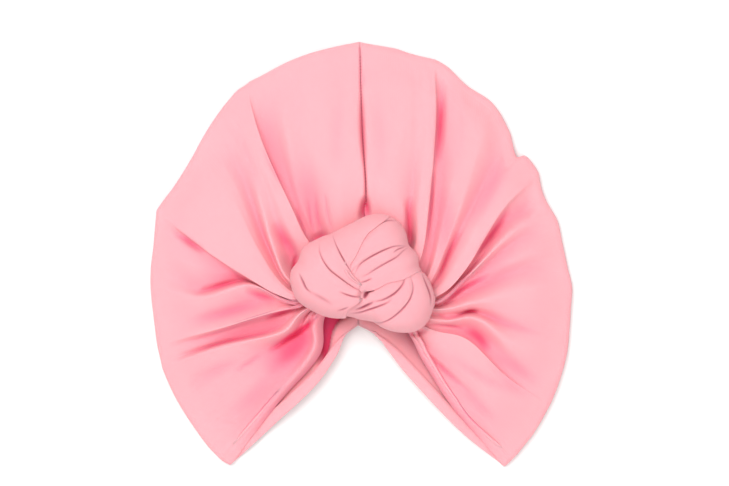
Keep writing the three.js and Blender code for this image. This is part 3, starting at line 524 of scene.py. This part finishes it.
def back_rays(side, start, share, steps):
    """The flat back: rays from the rim's turn straight to the top of the mouth, pulled over to
    the back's own brim edge by the fourth power of their nearness to it."""
    mouth = np.array([BACK["mouth_top"], BACK["hidden_end"]], float)
    tip = start[0 if side == "left" else -1]
    from_brim = share if side == "left" else 1 - share
    end = mouth[0] + (mouth[1] - mouth[0]) * from_brim[:, None]
    edge = np.stack([tip, *np.array(BACK[side], float), mouth[0]])
    edge = curve(BACK["places"], edge, steps, steady=False)
    straight = start[:, None] + (end - start)[:, None] * steps[None, :, None]
    chord = tip + (mouth[0] - tip) * steps[:, None]
    return straight + (1 - from_brim)[:, None, None] ** 4 * (edge - chord)[None]


def back_height(back, ways, brim):
    """Height of the flat back, and its painted shade, which deepens away from the brim edge inside
    the cap. It stands up as a bell of the distance to the brim edge, the column brim. On the left,
    where that is the first one, the bell ends in a step past a narrow hem, where the slot between
    the layers opens and is painted in shade."""
    apart = np.linalg.norm(back[:, :, None] - back[brim], axis=3).min(axis=2)
    low, high = BACK_HEM["heights"]
    rise = low + (high - low) * rise_between(ways, BACK_HEM["rises"])
    bell = rise * rise_between(ways, BACK_HEM["starts"]) * np.exp(-(apart / BACK_HEM["width"]) ** 2)
    inside = PAINTED_SHADE["inside"] * rise_between(apart, BACK_HEM["inside"])
    if brim:
        return bell, inside
    opening = rise_between(ways, SLOT["opens"]) * (1 - rise_between(ways, SLOT["closes"]))
    narrow, wide = SLOT["hem"]
    hem = narrow + (wide - narrow) * rise_between(ways, SLOT["widens"])
    past = smooth_step((apart - hem) / SLOT["step"])
    open_past = opening * past
    return bell * (1 - SLOT["fall"] * open_past), np.maximum(SLOT["shade"] * open_past, inside)


def with_tucks(lines, turn, table, tucks, steps):
    """The fold lines with each tuck's put in between its crest and foot. A tuck's line lies back
    below the crest by its depth, away from the foot, and a third of the way up from the foot."""
    names = list(table)
    at = list(range(len(names)))
    lines, turn = list(lines), list(turn)
    for (crest, foot), depths in tucks.items():
        c, f = names.index(crest), names.index(foot)
        depth = curve(PLACES, np.array([0, *depths, 0]), steps)[:, None]
        back = lines[c][:, :2] + unit(lines[c] - lines[f])[:, :2] * depth
        deep = np.clip(depth, 0, 1)
        plan = (lines[c] + lines[f])[:, :2] / 2 * (1 - deep) + back * deep
        height = lines[f][:, 2:] + (lines[c] - lines[f])[:, 2:] / 3
        at.append((c + f) / 2)
        lines.append(np.concatenate([plan, height], axis=1))
        turn.append((turn[c] + turn[f]) / 2)
    order = np.argsort(at)
    return np.array(lines)[order], np.array(turn)[order]


def stroke_height(plan, points, width, height, lean):
    """Height that one crease or ridge adds over places seen from above: a bell of the distance to
    its curve, and a lean that stands on the left and falls off over a few widths."""
    points = np.array(points, float)
    length = lengths_along(points)
    count = int(length[-1] / STROKE["step"]) + 2
    way = curve(length, points, np.linspace(0, length[-1], count), steady=False)
    ahead = unit(np.gradient(way, axis=0))
    margin = width * STROKE["lean_end" if lean else "bell_end"]
    close = ((plan > way.min(axis=0) - margin) & (plan < way.max(axis=0) + margin)).all(axis=-1)
    apart = plan[close][:, None] - way
    nearest = (apart ** 2).sum(axis=2).argmin(axis=1)
    apart = apart[np.arange(len(nearest)), nearest]
    ahead = ahead[nearest]
    along = nearest + (apart * ahead).sum(axis=1) / length[-1] * (count - 1)
    side = ahead[:, 0] * apart[:, 1] - ahead[:, 1] * apart[:, 0]
    fade = np.sin(math.pi * np.clip(along / (count - 1), 0, 1))
    bell = height * np.exp(-(side / width) ** 2)
    far = side / (STROKE["lean_width"] * width)
    step = lean * np.exp(-far ** 2) / (1 + np.exp(-STROKE["lean_sharp"] * side / width))
    added = np.zeros(plan.shape[:2])
    added[close] = fade * (bell + step)
    return added


def relief(plan, strokes):
    """Height that all strokes of a table add together."""
    return sum(stroke_height(plan, **dict(zip(STROKE_COLUMNS, row))) for row in strokes.values())


def ripples(share, steps):
    """Low waves of worn cloth: a sum of sines across the folds that sway along them, each kind
    lower by the root of its count."""
    draw = np.random.default_rng(RIPPLE["seed"])
    total = np.zeros((len(share), len(steps)))
    for across, sway in RIPPLES:
        phase = draw.uniform(0, 2 * math.pi, 2)
        turns = 2 * math.pi * across * share[:, None] + phase[0]
        total += np.sin(turns + 2 * np.sin(sway * steps + phase[1])) / math.sqrt(across)
    return RIPPLE["height"] * total


def hem_sizes(hem, share):
    """A hem's radius and reach at a share of the way from its least to its full size."""
    return [least + (full - least) * share for least, full in (hem["radius"], hem["reach"])]


def turned_under(grid, radius, reach, last):
    """A grid with a hem on its first or last column: a half circle round the edge on the inner
    side, then a strip that lies back under the cloth. Its radius and reach may change along it."""
    normals = grid_normals(grid)
    radius, reach = (np.broadcast_to(size, grid.shape[1])[:, None] for size in (radius, reach))
    edge, inner, normal = (grid[-1], grid[-2], normals[-1]) if last else (grid[0], grid[1], normals[0])
    outward = unit(edge - inner)
    angle = np.radians(np.linspace(90, -90, STEPS["hem"]))[1:, None, None]
    curl = edge - normal * radius + radius * (normal * np.sin(angle) + outward * np.cos(angle))
    strip = curl[-1] - outward * reach * np.linspace(0, 1, STEPS["strip"])[1:, None, None]
    hem = np.concatenate([curl, strip])
    return np.concatenate([grid, hem]) if last else np.concatenate([hem[::-1], grid])


def crown_front(side, spacing, steps):
    """The front of a panel as a grid, how much its creases add, each column's direction and
    radius at the rim, and each column's share of the way through the folds."""
    table, tucks, strokes = SIDES[side]
    lines, turn = with_tucks(*fold_lines(table, steps), table, tucks, steps)
    at = np.arange(len(lines))
    places = column_places(lines, spacing, STEPS["least_fold"])
    share = places / at[-1]
    front = curve(at, lines, places)
    ends = lines[:, -1, :2]
    along_rim = lengths_along(ends)
    round_rim = curve(along_rim, ends, np.interp(places, at, along_rim), steady=False)
    near_rim = rise_between(steps, (1 - FADE["round"], 1))[:, None]
    front[..., :2] += (round_rim - front[:, -1, :2])[:, None] * near_rim
    calm = smooth_step(steps / FADE["knot"]) * smooth_step((1 - steps) / FADE["rim"])
    creased = relief(front[..., :2], strokes)
    front[..., 2] += calm * (creased + ripples(share, steps))
    return front, creased, curve(at, turn, places), share


def crown_painted_shade(front, creased, steps, seam):
    """How deep a front's painted shade is: the deeper the further below the ridges, in a crease and
    beside the seam, which is one of its columns."""
    ridge = curve(PLACES, np.array(RIDGES), steps)
    below = np.clip((ridge - front[..., 2]) / FULL_DEPTH, 0, 1)
    in_fold = PAINTED_SHADE["fold"] * below ** PAINTED_SHADE["power"]
    in_fold += PAINTED_SHADE["crease"] * np.clip(-creased, 0, PAINTED_SHADE["deepest"])
    from_seam = np.abs(front[..., 0] - front[seam, :, 0])
    in_seam = PAINTED_SHADE["seam"] * np.exp(-(from_seam / PAINTED_SHADE["seam_width"]) ** 2)
    return in_fold * smooth_step((1 - steps) / FADE["shade"]) + in_seam


def crown_surface(side, spacing):
    """One half of the crown as a grid, and the painted shade of its outer and inner side. It runs
    across the folds clockwise, and along them from the ring out over the front, round the rim in a
    half circle and back below."""
    left = side == "left"
    steps, ways = bent_steps(*STEPS["front"]), bent_steps(*STEPS["back"])
    front, creased, turn, share = crown_front(side, spacing, steps)
    away, radius = turn[:, None, :2], turn[:, None, 2:]
    angle = np.radians(np.linspace(90, -90, STEPS["rim"]))[1:-1, None]
    out = front[:, -1:, :2] + away * radius * np.cos(angle)
    nose = np.concatenate([out, radius + radius * np.sin(angle)[None]], axis=2)
    back = back_rays(side, front[:, -1, :2], share, ways)
    lifted, slot = back_height(back, ways, 0 if left else -1)
    back = np.concatenate([back, lifted[..., None]], axis=2)
    grid = np.concatenate([front, nose, back], axis=1)
    # Painted shade: the outer side deepens in the folds, the inner side is deeper all over but at the
    # brim edge's column, and on the back it takes the slot's and the inside's shade
    outer, inner = np.zeros(grid.shape[:2]), np.full(grid.shape[:2], PAINTED_SHADE["inside"])
    outer[:, :len(steps)] = crown_painted_shade(front, creased, steps, -1 if left else 0)
    inner[:, -len(ways):] = slot
    inner[0 if left else -1] = 0
    to_mouth = np.ones(grid.shape[1])
    to_mouth[-len(ways):] = smooth_step((1 - ways) / FADE["mouth"])
    grid = turned_under(grid, *hem_sizes(BRIM_HEM, to_mouth), last=not left)
    extra = grid.shape[0] - outer.shape[0]
    pads = ((extra, 0) if left else (0, extra), (0, 0))
    return grid, np.pad(outer, pads, mode="edge"), np.pad(inner, pads, mode="edge")


def placed(grid):
    """A grid of the tables' millimetres in the frame's metres."""
    return (grid - np.append(MIDDLE, 0)) * MM


def new_object(name, points, faces, materials):
    """A smooth object of points and faces, linked to the scene."""
    mesh = bpy.data.meshes.new(name)
    mesh.from_pydata(points.reshape(-1, 3).tolist(), [], faces)
    mesh.shade_smooth()
    for material in materials:
        mesh.materials.append(material)
    piece = bpy.data.objects.new(name, mesh)
    bpy.context.scene.collection.objects.link(piece)
    return piece


def grid_mesh(name, grid, shades, wall, materials):
    """A grid as an object of quads, with a cloth's thickness on its inner side, a UV map of its own
    width and length in metres, and each side's painted shade as an attribute."""
    columns, rows = grid.shape[:2]
    i, j = np.meshgrid(np.arange(columns - 1), np.arange(rows - 1), indexing="ij")
    first = (i * rows + j).ravel()
    faces = np.stack([first, first + rows, first + rows + 1, first + 1], axis=1)
    piece = new_object(name, grid, faces.tolist(), materials)
    mesh = piece.data
    across = np.linalg.norm(np.diff(grid, axis=0), axis=2).mean(axis=1)
    along = np.linalg.norm(np.diff(grid, axis=1), axis=2).mean(axis=0)
    u = np.concatenate([[0], np.cumsum(across)])[:, None] + np.zeros((columns, rows))
    v = np.concatenate([[0], np.cumsum(along)])[None, :] + np.zeros((columns, rows))
    uv = np.stack([u, v], axis=2).reshape(-1, 2)
    layer = mesh.uv_layers.new(name="cloth")
    layer.data.foreach_set("uv", uv[faces.ravel()].ravel().astype(np.float32))
    for side, shade in shades.items():
        layer = mesh.attributes.new(side, "FLOAT", "POINT")
        layer.data.foreach_set("value", shade.ravel().astype(np.float32))
    thick = piece.modifiers.new("wall", "SOLIDIFY")
    thick.thickness = wall
    thick.offset = -1
    thick.material_offset = len(materials) - 1
    return piece


def seam_stitches(line):
    """The seam's thread as a row of short stitches along a line: each is a round rod, bowed up in
    a parabola, thinner at its ends, which run into the cloth on either side."""
    length = lengths_along(line)
    at = np.arange(STITCH["from"], STITCH["to"], STITCH["pitch"])
    middle = np.stack([np.interp(at, length, line[:, k]) for k in range(3)], 1)
    ahead = unit(np.gradient(middle, axis=0))
    up = np.array([0.0, 0.0, 1.0])
    way = unit(np.cross(ahead, up) + STITCH["slant"] * ahead)[:, None, None]
    aside = np.cross(way, up)
    share = np.linspace(-1, 1, STITCH["rings"])[:, None, None]
    angle = np.linspace(0, 2 * math.pi, STITCH["sides"] + 1)[:-1, None]
    core = middle[:, None, None] + way * share * STITCH["half"]
    core = core + up * STITCH["over"] * (1 - STITCH["bow"] * share ** 2)
    thick = STITCH["radius"] * np.sqrt(1 - STITCH["thin"] * share ** 2)
    return core + thick * (aside * np.cos(angle) + up * np.sin(angle))


def rods_mesh(name, rods, material):
    """Rods of rings of points as one object, with quads round them and a face on either end."""
    count, rings, sides = rods.shape[:3]
    index = np.arange(rods[..., 0].size).reshape(count, rings, sides)
    after = np.roll(index, -1, axis=2)
    quads = np.stack([index[:, :-1], after[:, :-1], after[:, 1:], index[:, 1:]], axis=-1).reshape(-1, 4)
    caps = [*index[:, 0, ::-1].tolist(), *index[:, -1].tolist()]
    return new_object(name, rods, [*quads.tolist(), *caps], [material])


def knot_reach(angle):
    """Distance of the knot's outline from its middle in a direction, as a closed smooth curve."""
    place = KNOT_OUTLINE - KNOT_MIDDLE
    own = np.arctan2(place[:, 1], place[:, 0])
    order = np.argsort(own)
    own, reach = own[order], np.linalg.norm(place, axis=1)[order]
    at = np.concatenate([own - 2 * math.pi, own, own + 2 * math.pi])
    flat = np.ravel(angle)
    return curve(at, np.tile(reach, 3), flat, steady=False).reshape(np.shape(angle))


def knot_share(plan):
    """The way to a place from the knot's middle, and its share of the reach that way."""
    away = plan - KNOT_MIDDLE
    return away, np.linalg.norm(away, axis=-1) / knot_reach(np.arctan2(away[..., 1], away[..., 0]))


def unwrapped(plan):
    """A place seen from above, moved out as if the round side lay flat: past the shoulder the
    share of the reach is an arc sine, so the outline comes at 1 and what lies under it past 1."""
    away, share = knot_share(plan)
    turned = np.clip((share - SHOULDER) / (1 - SHOULDER), 0, 1)
    round_side = SHOULDER + (1 - SHOULDER) * 2 / math.pi * np.arcsin(turned)
    flat = np.where(share > SHOULDER, round_side, share)
    return KNOT_MIDDLE + away * (flat / np.maximum(share, 1e-6))[..., None]


def wrapped(flat):
    """The knot's surface over an unwrapped place: its dome above, its underside past the
    outline, both superellipses of the share of the reach."""
    away, share = knot_share(flat)
    turn = (share - SHOULDER) / (1 - SHOULDER) * math.pi / 2
    round_side = SHOULDER + (1 - SHOULDER) * np.sin(np.clip(turn, 0, math.pi))
    own = np.where(share > SHOULDER, round_side, share)
    plan = KNOT_MIDDLE + away * (own / np.maximum(share, 1e-6))[..., None]
    over, under = (np.sqrt(np.maximum(0, 1 - own ** power)) for power in KNOT["powers"])
    above = KNOT["middle"] + KNOT["dome"] * over
    below = KNOT["middle"] - KNOT["under"] * under
    return np.concatenate([plan, np.where(share > 1, below, above)[..., None]], axis=-1)


def pleat_lines(table, steps):
    """Each pleat as a curve through its five places, and its height over the dome."""
    f = columns_of(table, PLEAT_COLUMNS)
    places = np.stack([np.stack([f[f"x{k}"], f[f"y{k}"]], 1) for k in range(5)])
    return curve(PLEAT_PLACES, unwrapped(places), steps, steady=False).transpose(1, 0, 2), f["lift"]


def lobe_surface(lobe, spacing):
    """One lobe of the knot as a grid across and along its pleats, and its painted shade, which
    deepens in its creases. What runs on past the outline turns under the knot. The dive into the
    knot's middle is a bell of the way along."""
    lines, heights = pleat_lines(lobe["pleats"], np.linspace(0, 1, STEPS["pleats"]))
    if lobe["ends"]:
        more = np.linspace(1, lobe["ends"], STEPS["ends"])[None, 1:, None]
        lines = np.concatenate([lines, KNOT_MIDDLE + (lines[:, -1:] - KNOT_MIDDLE) * more], axis=1)
    if lobe["side"]:
        more = np.linspace(1, lobe["side"], STEPS["side"])[1:, None, None]
        lines = np.concatenate([lines, KNOT_MIDDLE + (lines[-1:] - KNOT_MIDDLE) * more], axis=0)
        heights = np.concatenate([heights, np.zeros(len(more))])
    if lobe["turned"]:
        lines, heights = lines[::-1], heights[::-1]
    at = np.arange(len(lines))
    places = column_places(lines, spacing, STEPS["least_pleat"])
    surface = wrapped(curve(at, lines, places))
    along = np.linspace(0, lines.shape[1] / STEPS["pleats"], lines.shape[1])
    crease = relief(surface[..., :2], lobe["creases"])
    # Painted shade in the creases, deepest at the deepest ones
    shade = np.clip(-crease / DEEP_CREASE, 0, 1)
    rise = curve(at, heights, places)[:, None] + lobe["lift"]
    rise = rise + crease - lobe["dive"] * np.exp(-(along / DIVE_LENGTH) ** 2)
    surface = surface + rise[..., None] * grid_normals(surface) * LIFT_SHARE
    sizes = hem_sizes(LOBE_HEM, smooth_step(along / HEM_OPENS))
    for last in lobe["hems"]:
        surface = turned_under(surface, *sizes, last)
        extra = surface.shape[0] - shade.shape[0]
        shade = np.pad(shade, ((0, extra) if last else (extra, 0), (0, 0)))
    return surface, shade


def add_node(tree, kind, settings=None, **links):
    """One shader node with its settings, its sockets set to values or linked to outputs."""
    node = tree.nodes.new(kind)
    for key, value in (settings or {}).items():
        setattr(node, key, value)
    for key, value in links.items():
        socket = node.inputs[key.replace("_", " ")]
        if isinstance(value, bpy.types.NodeSocket):
            tree.links.new(value, socket)
        else:
            socket.default_value = value
    return node


def empty_material(name):
    """A new material and its node tree, which is still empty."""
    material = bpy.data.materials.new(name)
    material.use_nodes = True
    material.node_tree.nodes.clear()
    return material, material.node_tree


def knit_jersey(name, colour, deep, wale, side):
    """Cotton jersey, knitted: matte, with a soft bloom at grazing angles and fine ribs, the
    wales, that run along the cloth and are drawn coarser than real ones. The attribute named by
    side paints shade into the colour, deeper in folds, creases, slots and the seam, in place of the
    shade and the light that bounces between the walls of a fold."""
    material, tree = empty_material(name)
    cloth = add_node(tree, "ShaderNodeUVMap", {"uv_map": "cloth"}).outputs["UV"]
    place = add_node(tree, "ShaderNodeTexCoord").outputs["Object"]
    wales = add_node(tree, "ShaderNodeTexWave", {"bands_direction": "X"}, Vector=cloth,
                     Scale=WAVE / wale, Distortion=1.5, Detail=2.0)
    mottle = add_node(tree, "ShaderNodeTexNoise", Vector=place, Scale=MOTTLE_SCALE, Detail=3.0)
    shade = add_node(tree, "ShaderNodeMapRange", Value=mottle.outputs["Fac"], To_Min=0.96, To_Max=1.04)
    # Painted shade: the attribute runs the colour from the cloth's own at 0 to the first deep colour at
    # a half and the second at 1
    fold = add_node(tree, "ShaderNodeAttribute", {"attribute_name": side}).outputs["Fac"]
    painted_shade_ramp = add_node(tree, "ShaderNodeValToRGB", Fac=fold)
    ramp = painted_shade_ramp.color_ramp.elements
    ramp[0].color = (*colour, 1.0)
    ramp[1].color = (*deep[1], 1.0)
    ramp.new(0.5).color = (*deep[0], 1.0)
    tint = add_node(tree, "ShaderNodeHueSaturation", Value=shade.outputs["Result"],
                    Color=painted_shade_ramp.outputs["Color"])
    bump = add_node(tree, "ShaderNodeBump", Height=wales.outputs["Fac"], Strength=0.12, Distance=0.0002)
    shader = add_node(tree, "ShaderNodeBsdfPrincipled", Base_Color=tint.outputs["Color"],
                      Normal=bump.outputs["Normal"], Roughness=0.9, IOR=1.45,
                      Specular_IOR_Level=0.2, Sheen_Weight=0.06, Sheen_Roughness=0.5,
                      Subsurface_Weight=0.45, Subsurface_Scale=0.002,
                      Subsurface_Radius=(1.0, 0.4, 0.45))
    add_node(tree, "ShaderNodeOutputMaterial", Surface=shader.outputs["BSDF"])
    return material


def spun_thread(colour, twist):
    """Sewing thread, polyester spun and twisted: a low gloss, and a fine spiral whose dark bands are
    painted shade in the grooves between the turns, with a bump, that makes each stitch look like a
    small rope. The spiral is drawn coarser than a real one."""
    material, tree = empty_material("spun_polyester_thread")
    place = add_node(tree, "ShaderNodeTexCoord").outputs["Object"]
    spiral = add_node(tree, "ShaderNodeTexWave", {"bands_direction": "DIAGONAL"}, Vector=place,
                      Scale=WAVE / twist)
    # Painted shade: the spiral darkens the colour in the grooves between the turns
    shade = add_node(tree, "ShaderNodeMapRange", Value=spiral.outputs["Fac"], To_Min=0.8)
    tint = add_node(tree, "ShaderNodeHueSaturation", Value=shade.outputs["Result"],
                    Color=(*colour, 1.0))
    bump = add_node(tree, "ShaderNodeBump", Height=spiral.outputs["Fac"], Strength=0.3, Distance=0.0001)
    shader = add_node(tree, "ShaderNodeBsdfPrincipled", Base_Color=tint.outputs["Color"],
                      Normal=bump.outputs["Normal"], Roughness=0.6, IOR=1.5)
    add_node(tree, "ShaderNodeOutputMaterial", Surface=shader.outputs["BSDF"])
    return material


def white_card(colour):
    """White card, uncoated: a matte surface of one even colour, which shows only soft shadows."""
    material = bpy.data.materials.new("white_card")
    material.use_nodes = True
    shader = material.node_tree.nodes["Principled BSDF"]
    shader.inputs["Base Color"].default_value = (*colour, 1.0)
    shader.inputs["Roughness"].default_value = 0.9
    return material


def length_property(name, description, default):
    """A length in metres."""
    return FloatProperty(name=name, description=description, default=default, unit="LENGTH")


def colour_property(name, description, hex_colour):
    """A colour, given as sRGB hex."""
    default = linear(hex_colour)
    return FloatVectorProperty(name=name, description=description, default=default, subtype="COLOR")


class TurbanSizes(PropertyGroup):
    """Lengths of the cloth, its grids and its patterns"""
    wall: length_property("Cloth", "Thickness of one layer of jersey", 0.0011)
    knot_wall: length_property("Knot cloth", "Thickness of the knot's stretched jersey", 0.0008)
    crown_spacing: length_property("Crown spacing", "Widest step of the crown's grid across", 0.00165)
    knot_spacing: length_property("Knot spacing", "Widest step of a lobe's grid across", 0.00052)
    wale: length_property("Wale", "Spacing of the knit's ribs", 0.0009)
    twist: length_property("Twist", "Spacing of the thread's turns", 0.0004)


class TurbanColours(PropertyGroup):
    """Colours of the jersey, of the painted shade in its folds, slots, creases and pits, and of the
    surface below
    """
    crown: colour_property("Crown", "Colour of the crown's jersey", "eda3aa")
    # The fold, slot, crease and pit colours are painted shade
    fold: colour_property("Folds", "Colour of the crown's jersey in a fold", "e27e92")
    slot: colour_property("Slots", "Colour of the crown's jersey in a deep slot", "e02660")
    crease: colour_property("Creases", "Colour of the knot's jersey in a crease", "bf7882")
    pit: colour_property("Pits", "Colour of the knot's jersey in its deepest crease", "a85262")
    knot: colour_property("Knot", "Colour of the knot's jersey", "e6a0a7")
    floor: colour_property("Floor", "Colour of the surface below", "ebebea")


def crown_materials(context):
    """The crown's jersey on its outer and its inner side, made once for both panels."""
    colours = context.scene.turban_colours
    return [
        bpy.data.materials.get(name) or knit_jersey(
            name, colours.crown, (colours.fold, colours.slot), context.scene.turban_sizes.wale, side)
        for name, side in (("crown_jersey_knit", "outer_painted_shade"), ("crown_jersey_purl", "inner_painted_shade"))
    ]


def knot_material(context):
    """The knot's jersey, made once for its lobes and core."""
    made = bpy.data.materials.get("knot_jersey_knit")
    colours = context.scene.turban_colours
    return made or knit_jersey("knot_jersey_knit", colours.knot, (colours.crease, colours.pit),
                               context.scene.turban_sizes.wale, "outer_painted_shade")


class TURBAN_OT_crown(Operator):
    """Add the crown's two gathered panels"""
    bl_idname = "turban.crown"
    bl_label = "Crown Panels"

    def execute(self, context):
        sizes = context.scene.turban_sizes
        for side in SIDES:
            grid, outer, inner = crown_surface(side, sizes.crown_spacing / MM)
            shades = {"outer_painted_shade": outer, "inner_painted_shade": inner}
            piece = grid_mesh(f"crown_{side}_cloth", placed(grid), shades, sizes.wall,
                              crown_materials(context))
            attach(piece, "root")
            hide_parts(f"crown_{side}_panel")
        return {"FINISHED"}


class TURBAN_OT_seam(Operator):
    """Add the thread that sews the two panels together"""
    bl_idname = "turban.seam"
    bl_label = "Seam Stitches"

    def execute(self, context):
        sizes = context.scene.turban_sizes
        front = crown_front("left", sizes.crown_spacing / MM, bent_steps(*STEPS["front"]))[0]
        # The seam is the last column, and its line runs in from the row before the rim's turn
        rods = seam_stitches(front[-1, -2::-1])
        thread = spun_thread(context.scene.turban_colours.fold, sizes.twist)
        piece = rods_mesh("seam_thread", placed(rods), thread)
        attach(piece, "root")
        return {"FINISHED"}


class TURBAN_OT_knot(Operator):
    """Add the knot's three pleated lobes"""
    bl_idname = "turban.knot"
    bl_label = "Knot Lobes"

    def execute(self, context):
        sizes = context.scene.turban_sizes
        for name, row in LOBES.items():
            lobe = dict(zip(LOBE_COLUMNS, row))
            grid, shade = lobe_surface(lobe, sizes.knot_spacing / MM)
            piece = grid_mesh(f"knot_{name}_cloth", placed(grid), {"outer_painted_shade": shade},
                              sizes.knot_wall, [knot_material(context)])
            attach(piece, "root")
            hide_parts(f"knot_{name}_lobe")
        return {"FINISHED"}


class TURBAN_OT_core(Operator):
    """Give the hidden core of the knot its jersey"""
    bl_idname = "turban.core"
    bl_label = "Knot Core"

    def execute(self, context):
        core = bpy.data.objects["knot_core"]
        core.data.materials.clear()
        core.data.materials.append(knot_material(context))
        return {"FINISHED"}


class TURBAN_OT_stage(Operator):
    """Add the pale floor, the soft lights and the camera that looks straight down"""
    bl_idname = "turban.stage"
    bl_label = "Stage"

    def execute(self, context):
        scene = context.scene
        corners = FLOOR_HALF * np.array([(-1, -1, 0), (1, -1, 0), (1, 1, 0), (-1, 1, 0)])
        floor = new_object("floor", corners, [(0, 1, 2, 3)], [white_card(scene.turban_colours.floor)])
        world = bpy.data.worlds.new("studio")
        world.use_nodes = True
        background = world.node_tree.nodes["Background"]
        background.inputs["Color"].default_value = (1.0, 1.0, 1.0, 1.0)
        background.inputs["Strength"].default_value = 0.6
        scene.world = world
        for name, (place, size, watts) in LIGHTS.items():
            light = bpy.data.lights.new(name, "AREA")
            light.size = size
            light.energy = watts
            lamp = bpy.data.objects.new(name, light)
            lamp.location = place
            aim = np.array(place) / np.linalg.norm(place)
            lamp.rotation_euler = (math.acos(aim[2]), 0, math.atan2(aim[1], aim[0]) + math.pi / 2)
            scene.collection.objects.link(lamp)
        scene.view_settings.view_transform = "Standard"
        camera = bpy.data.cameras.new("camera")
        camera.lens = VIEW["lens"]
        camera.sensor_width = VIEW["sensor"]
        viewer = bpy.data.objects.new("camera", camera)
        above = VIEW["width"] * camera.lens / camera.sensor_width
        viewer.location = (VIEW["x"], VIEW["y"], above + VIEW["height"])
        scene.collection.objects.link(viewer)
        scene.camera = viewer
        return {"FINISHED"}


OPERATORS = (TURBAN_OT_crown, TURBAN_OT_seam, TURBAN_OT_knot, TURBAN_OT_core, TURBAN_OT_stage)


class TURBAN_PT_panel(Panel):
    """Lists the cap's operators in the sidebar"""
    bl_label = "Turban Cap"
    bl_idname = "TURBAN_PT_panel"
    bl_space_type = "VIEW_3D"
    bl_region_type = "UI"
    bl_category = "Turban Cap"

    def draw(self, context):
        for operator in OPERATORS:
            self.layout.operator(operator.bl_idname)


CLASSES = (TurbanSizes, TurbanColours, *OPERATORS, TURBAN_PT_panel)


def register():
    for each in CLASSES:
        bpy.utils.register_class(each)
    bpy.types.Scene.turban_sizes = PointerProperty(type=TurbanSizes)
    bpy.types.Scene.turban_colours = PointerProperty(type=TurbanColours)


def unregister():
    del bpy.types.Scene.turban_sizes
    del bpy.types.Scene.turban_colours
    for each in reversed(CLASSES):
        bpy.utils.unregister_class(each)


def main():
    register()
    bpy.ops.turban.stage()
    bpy.ops.turban.crown()
    bpy.ops.turban.seam()
    bpy.ops.turban.knot()
    bpy.ops.turban.core()
    bpy.context.view_layer.update()


if __name__ == "__main__":
    main()
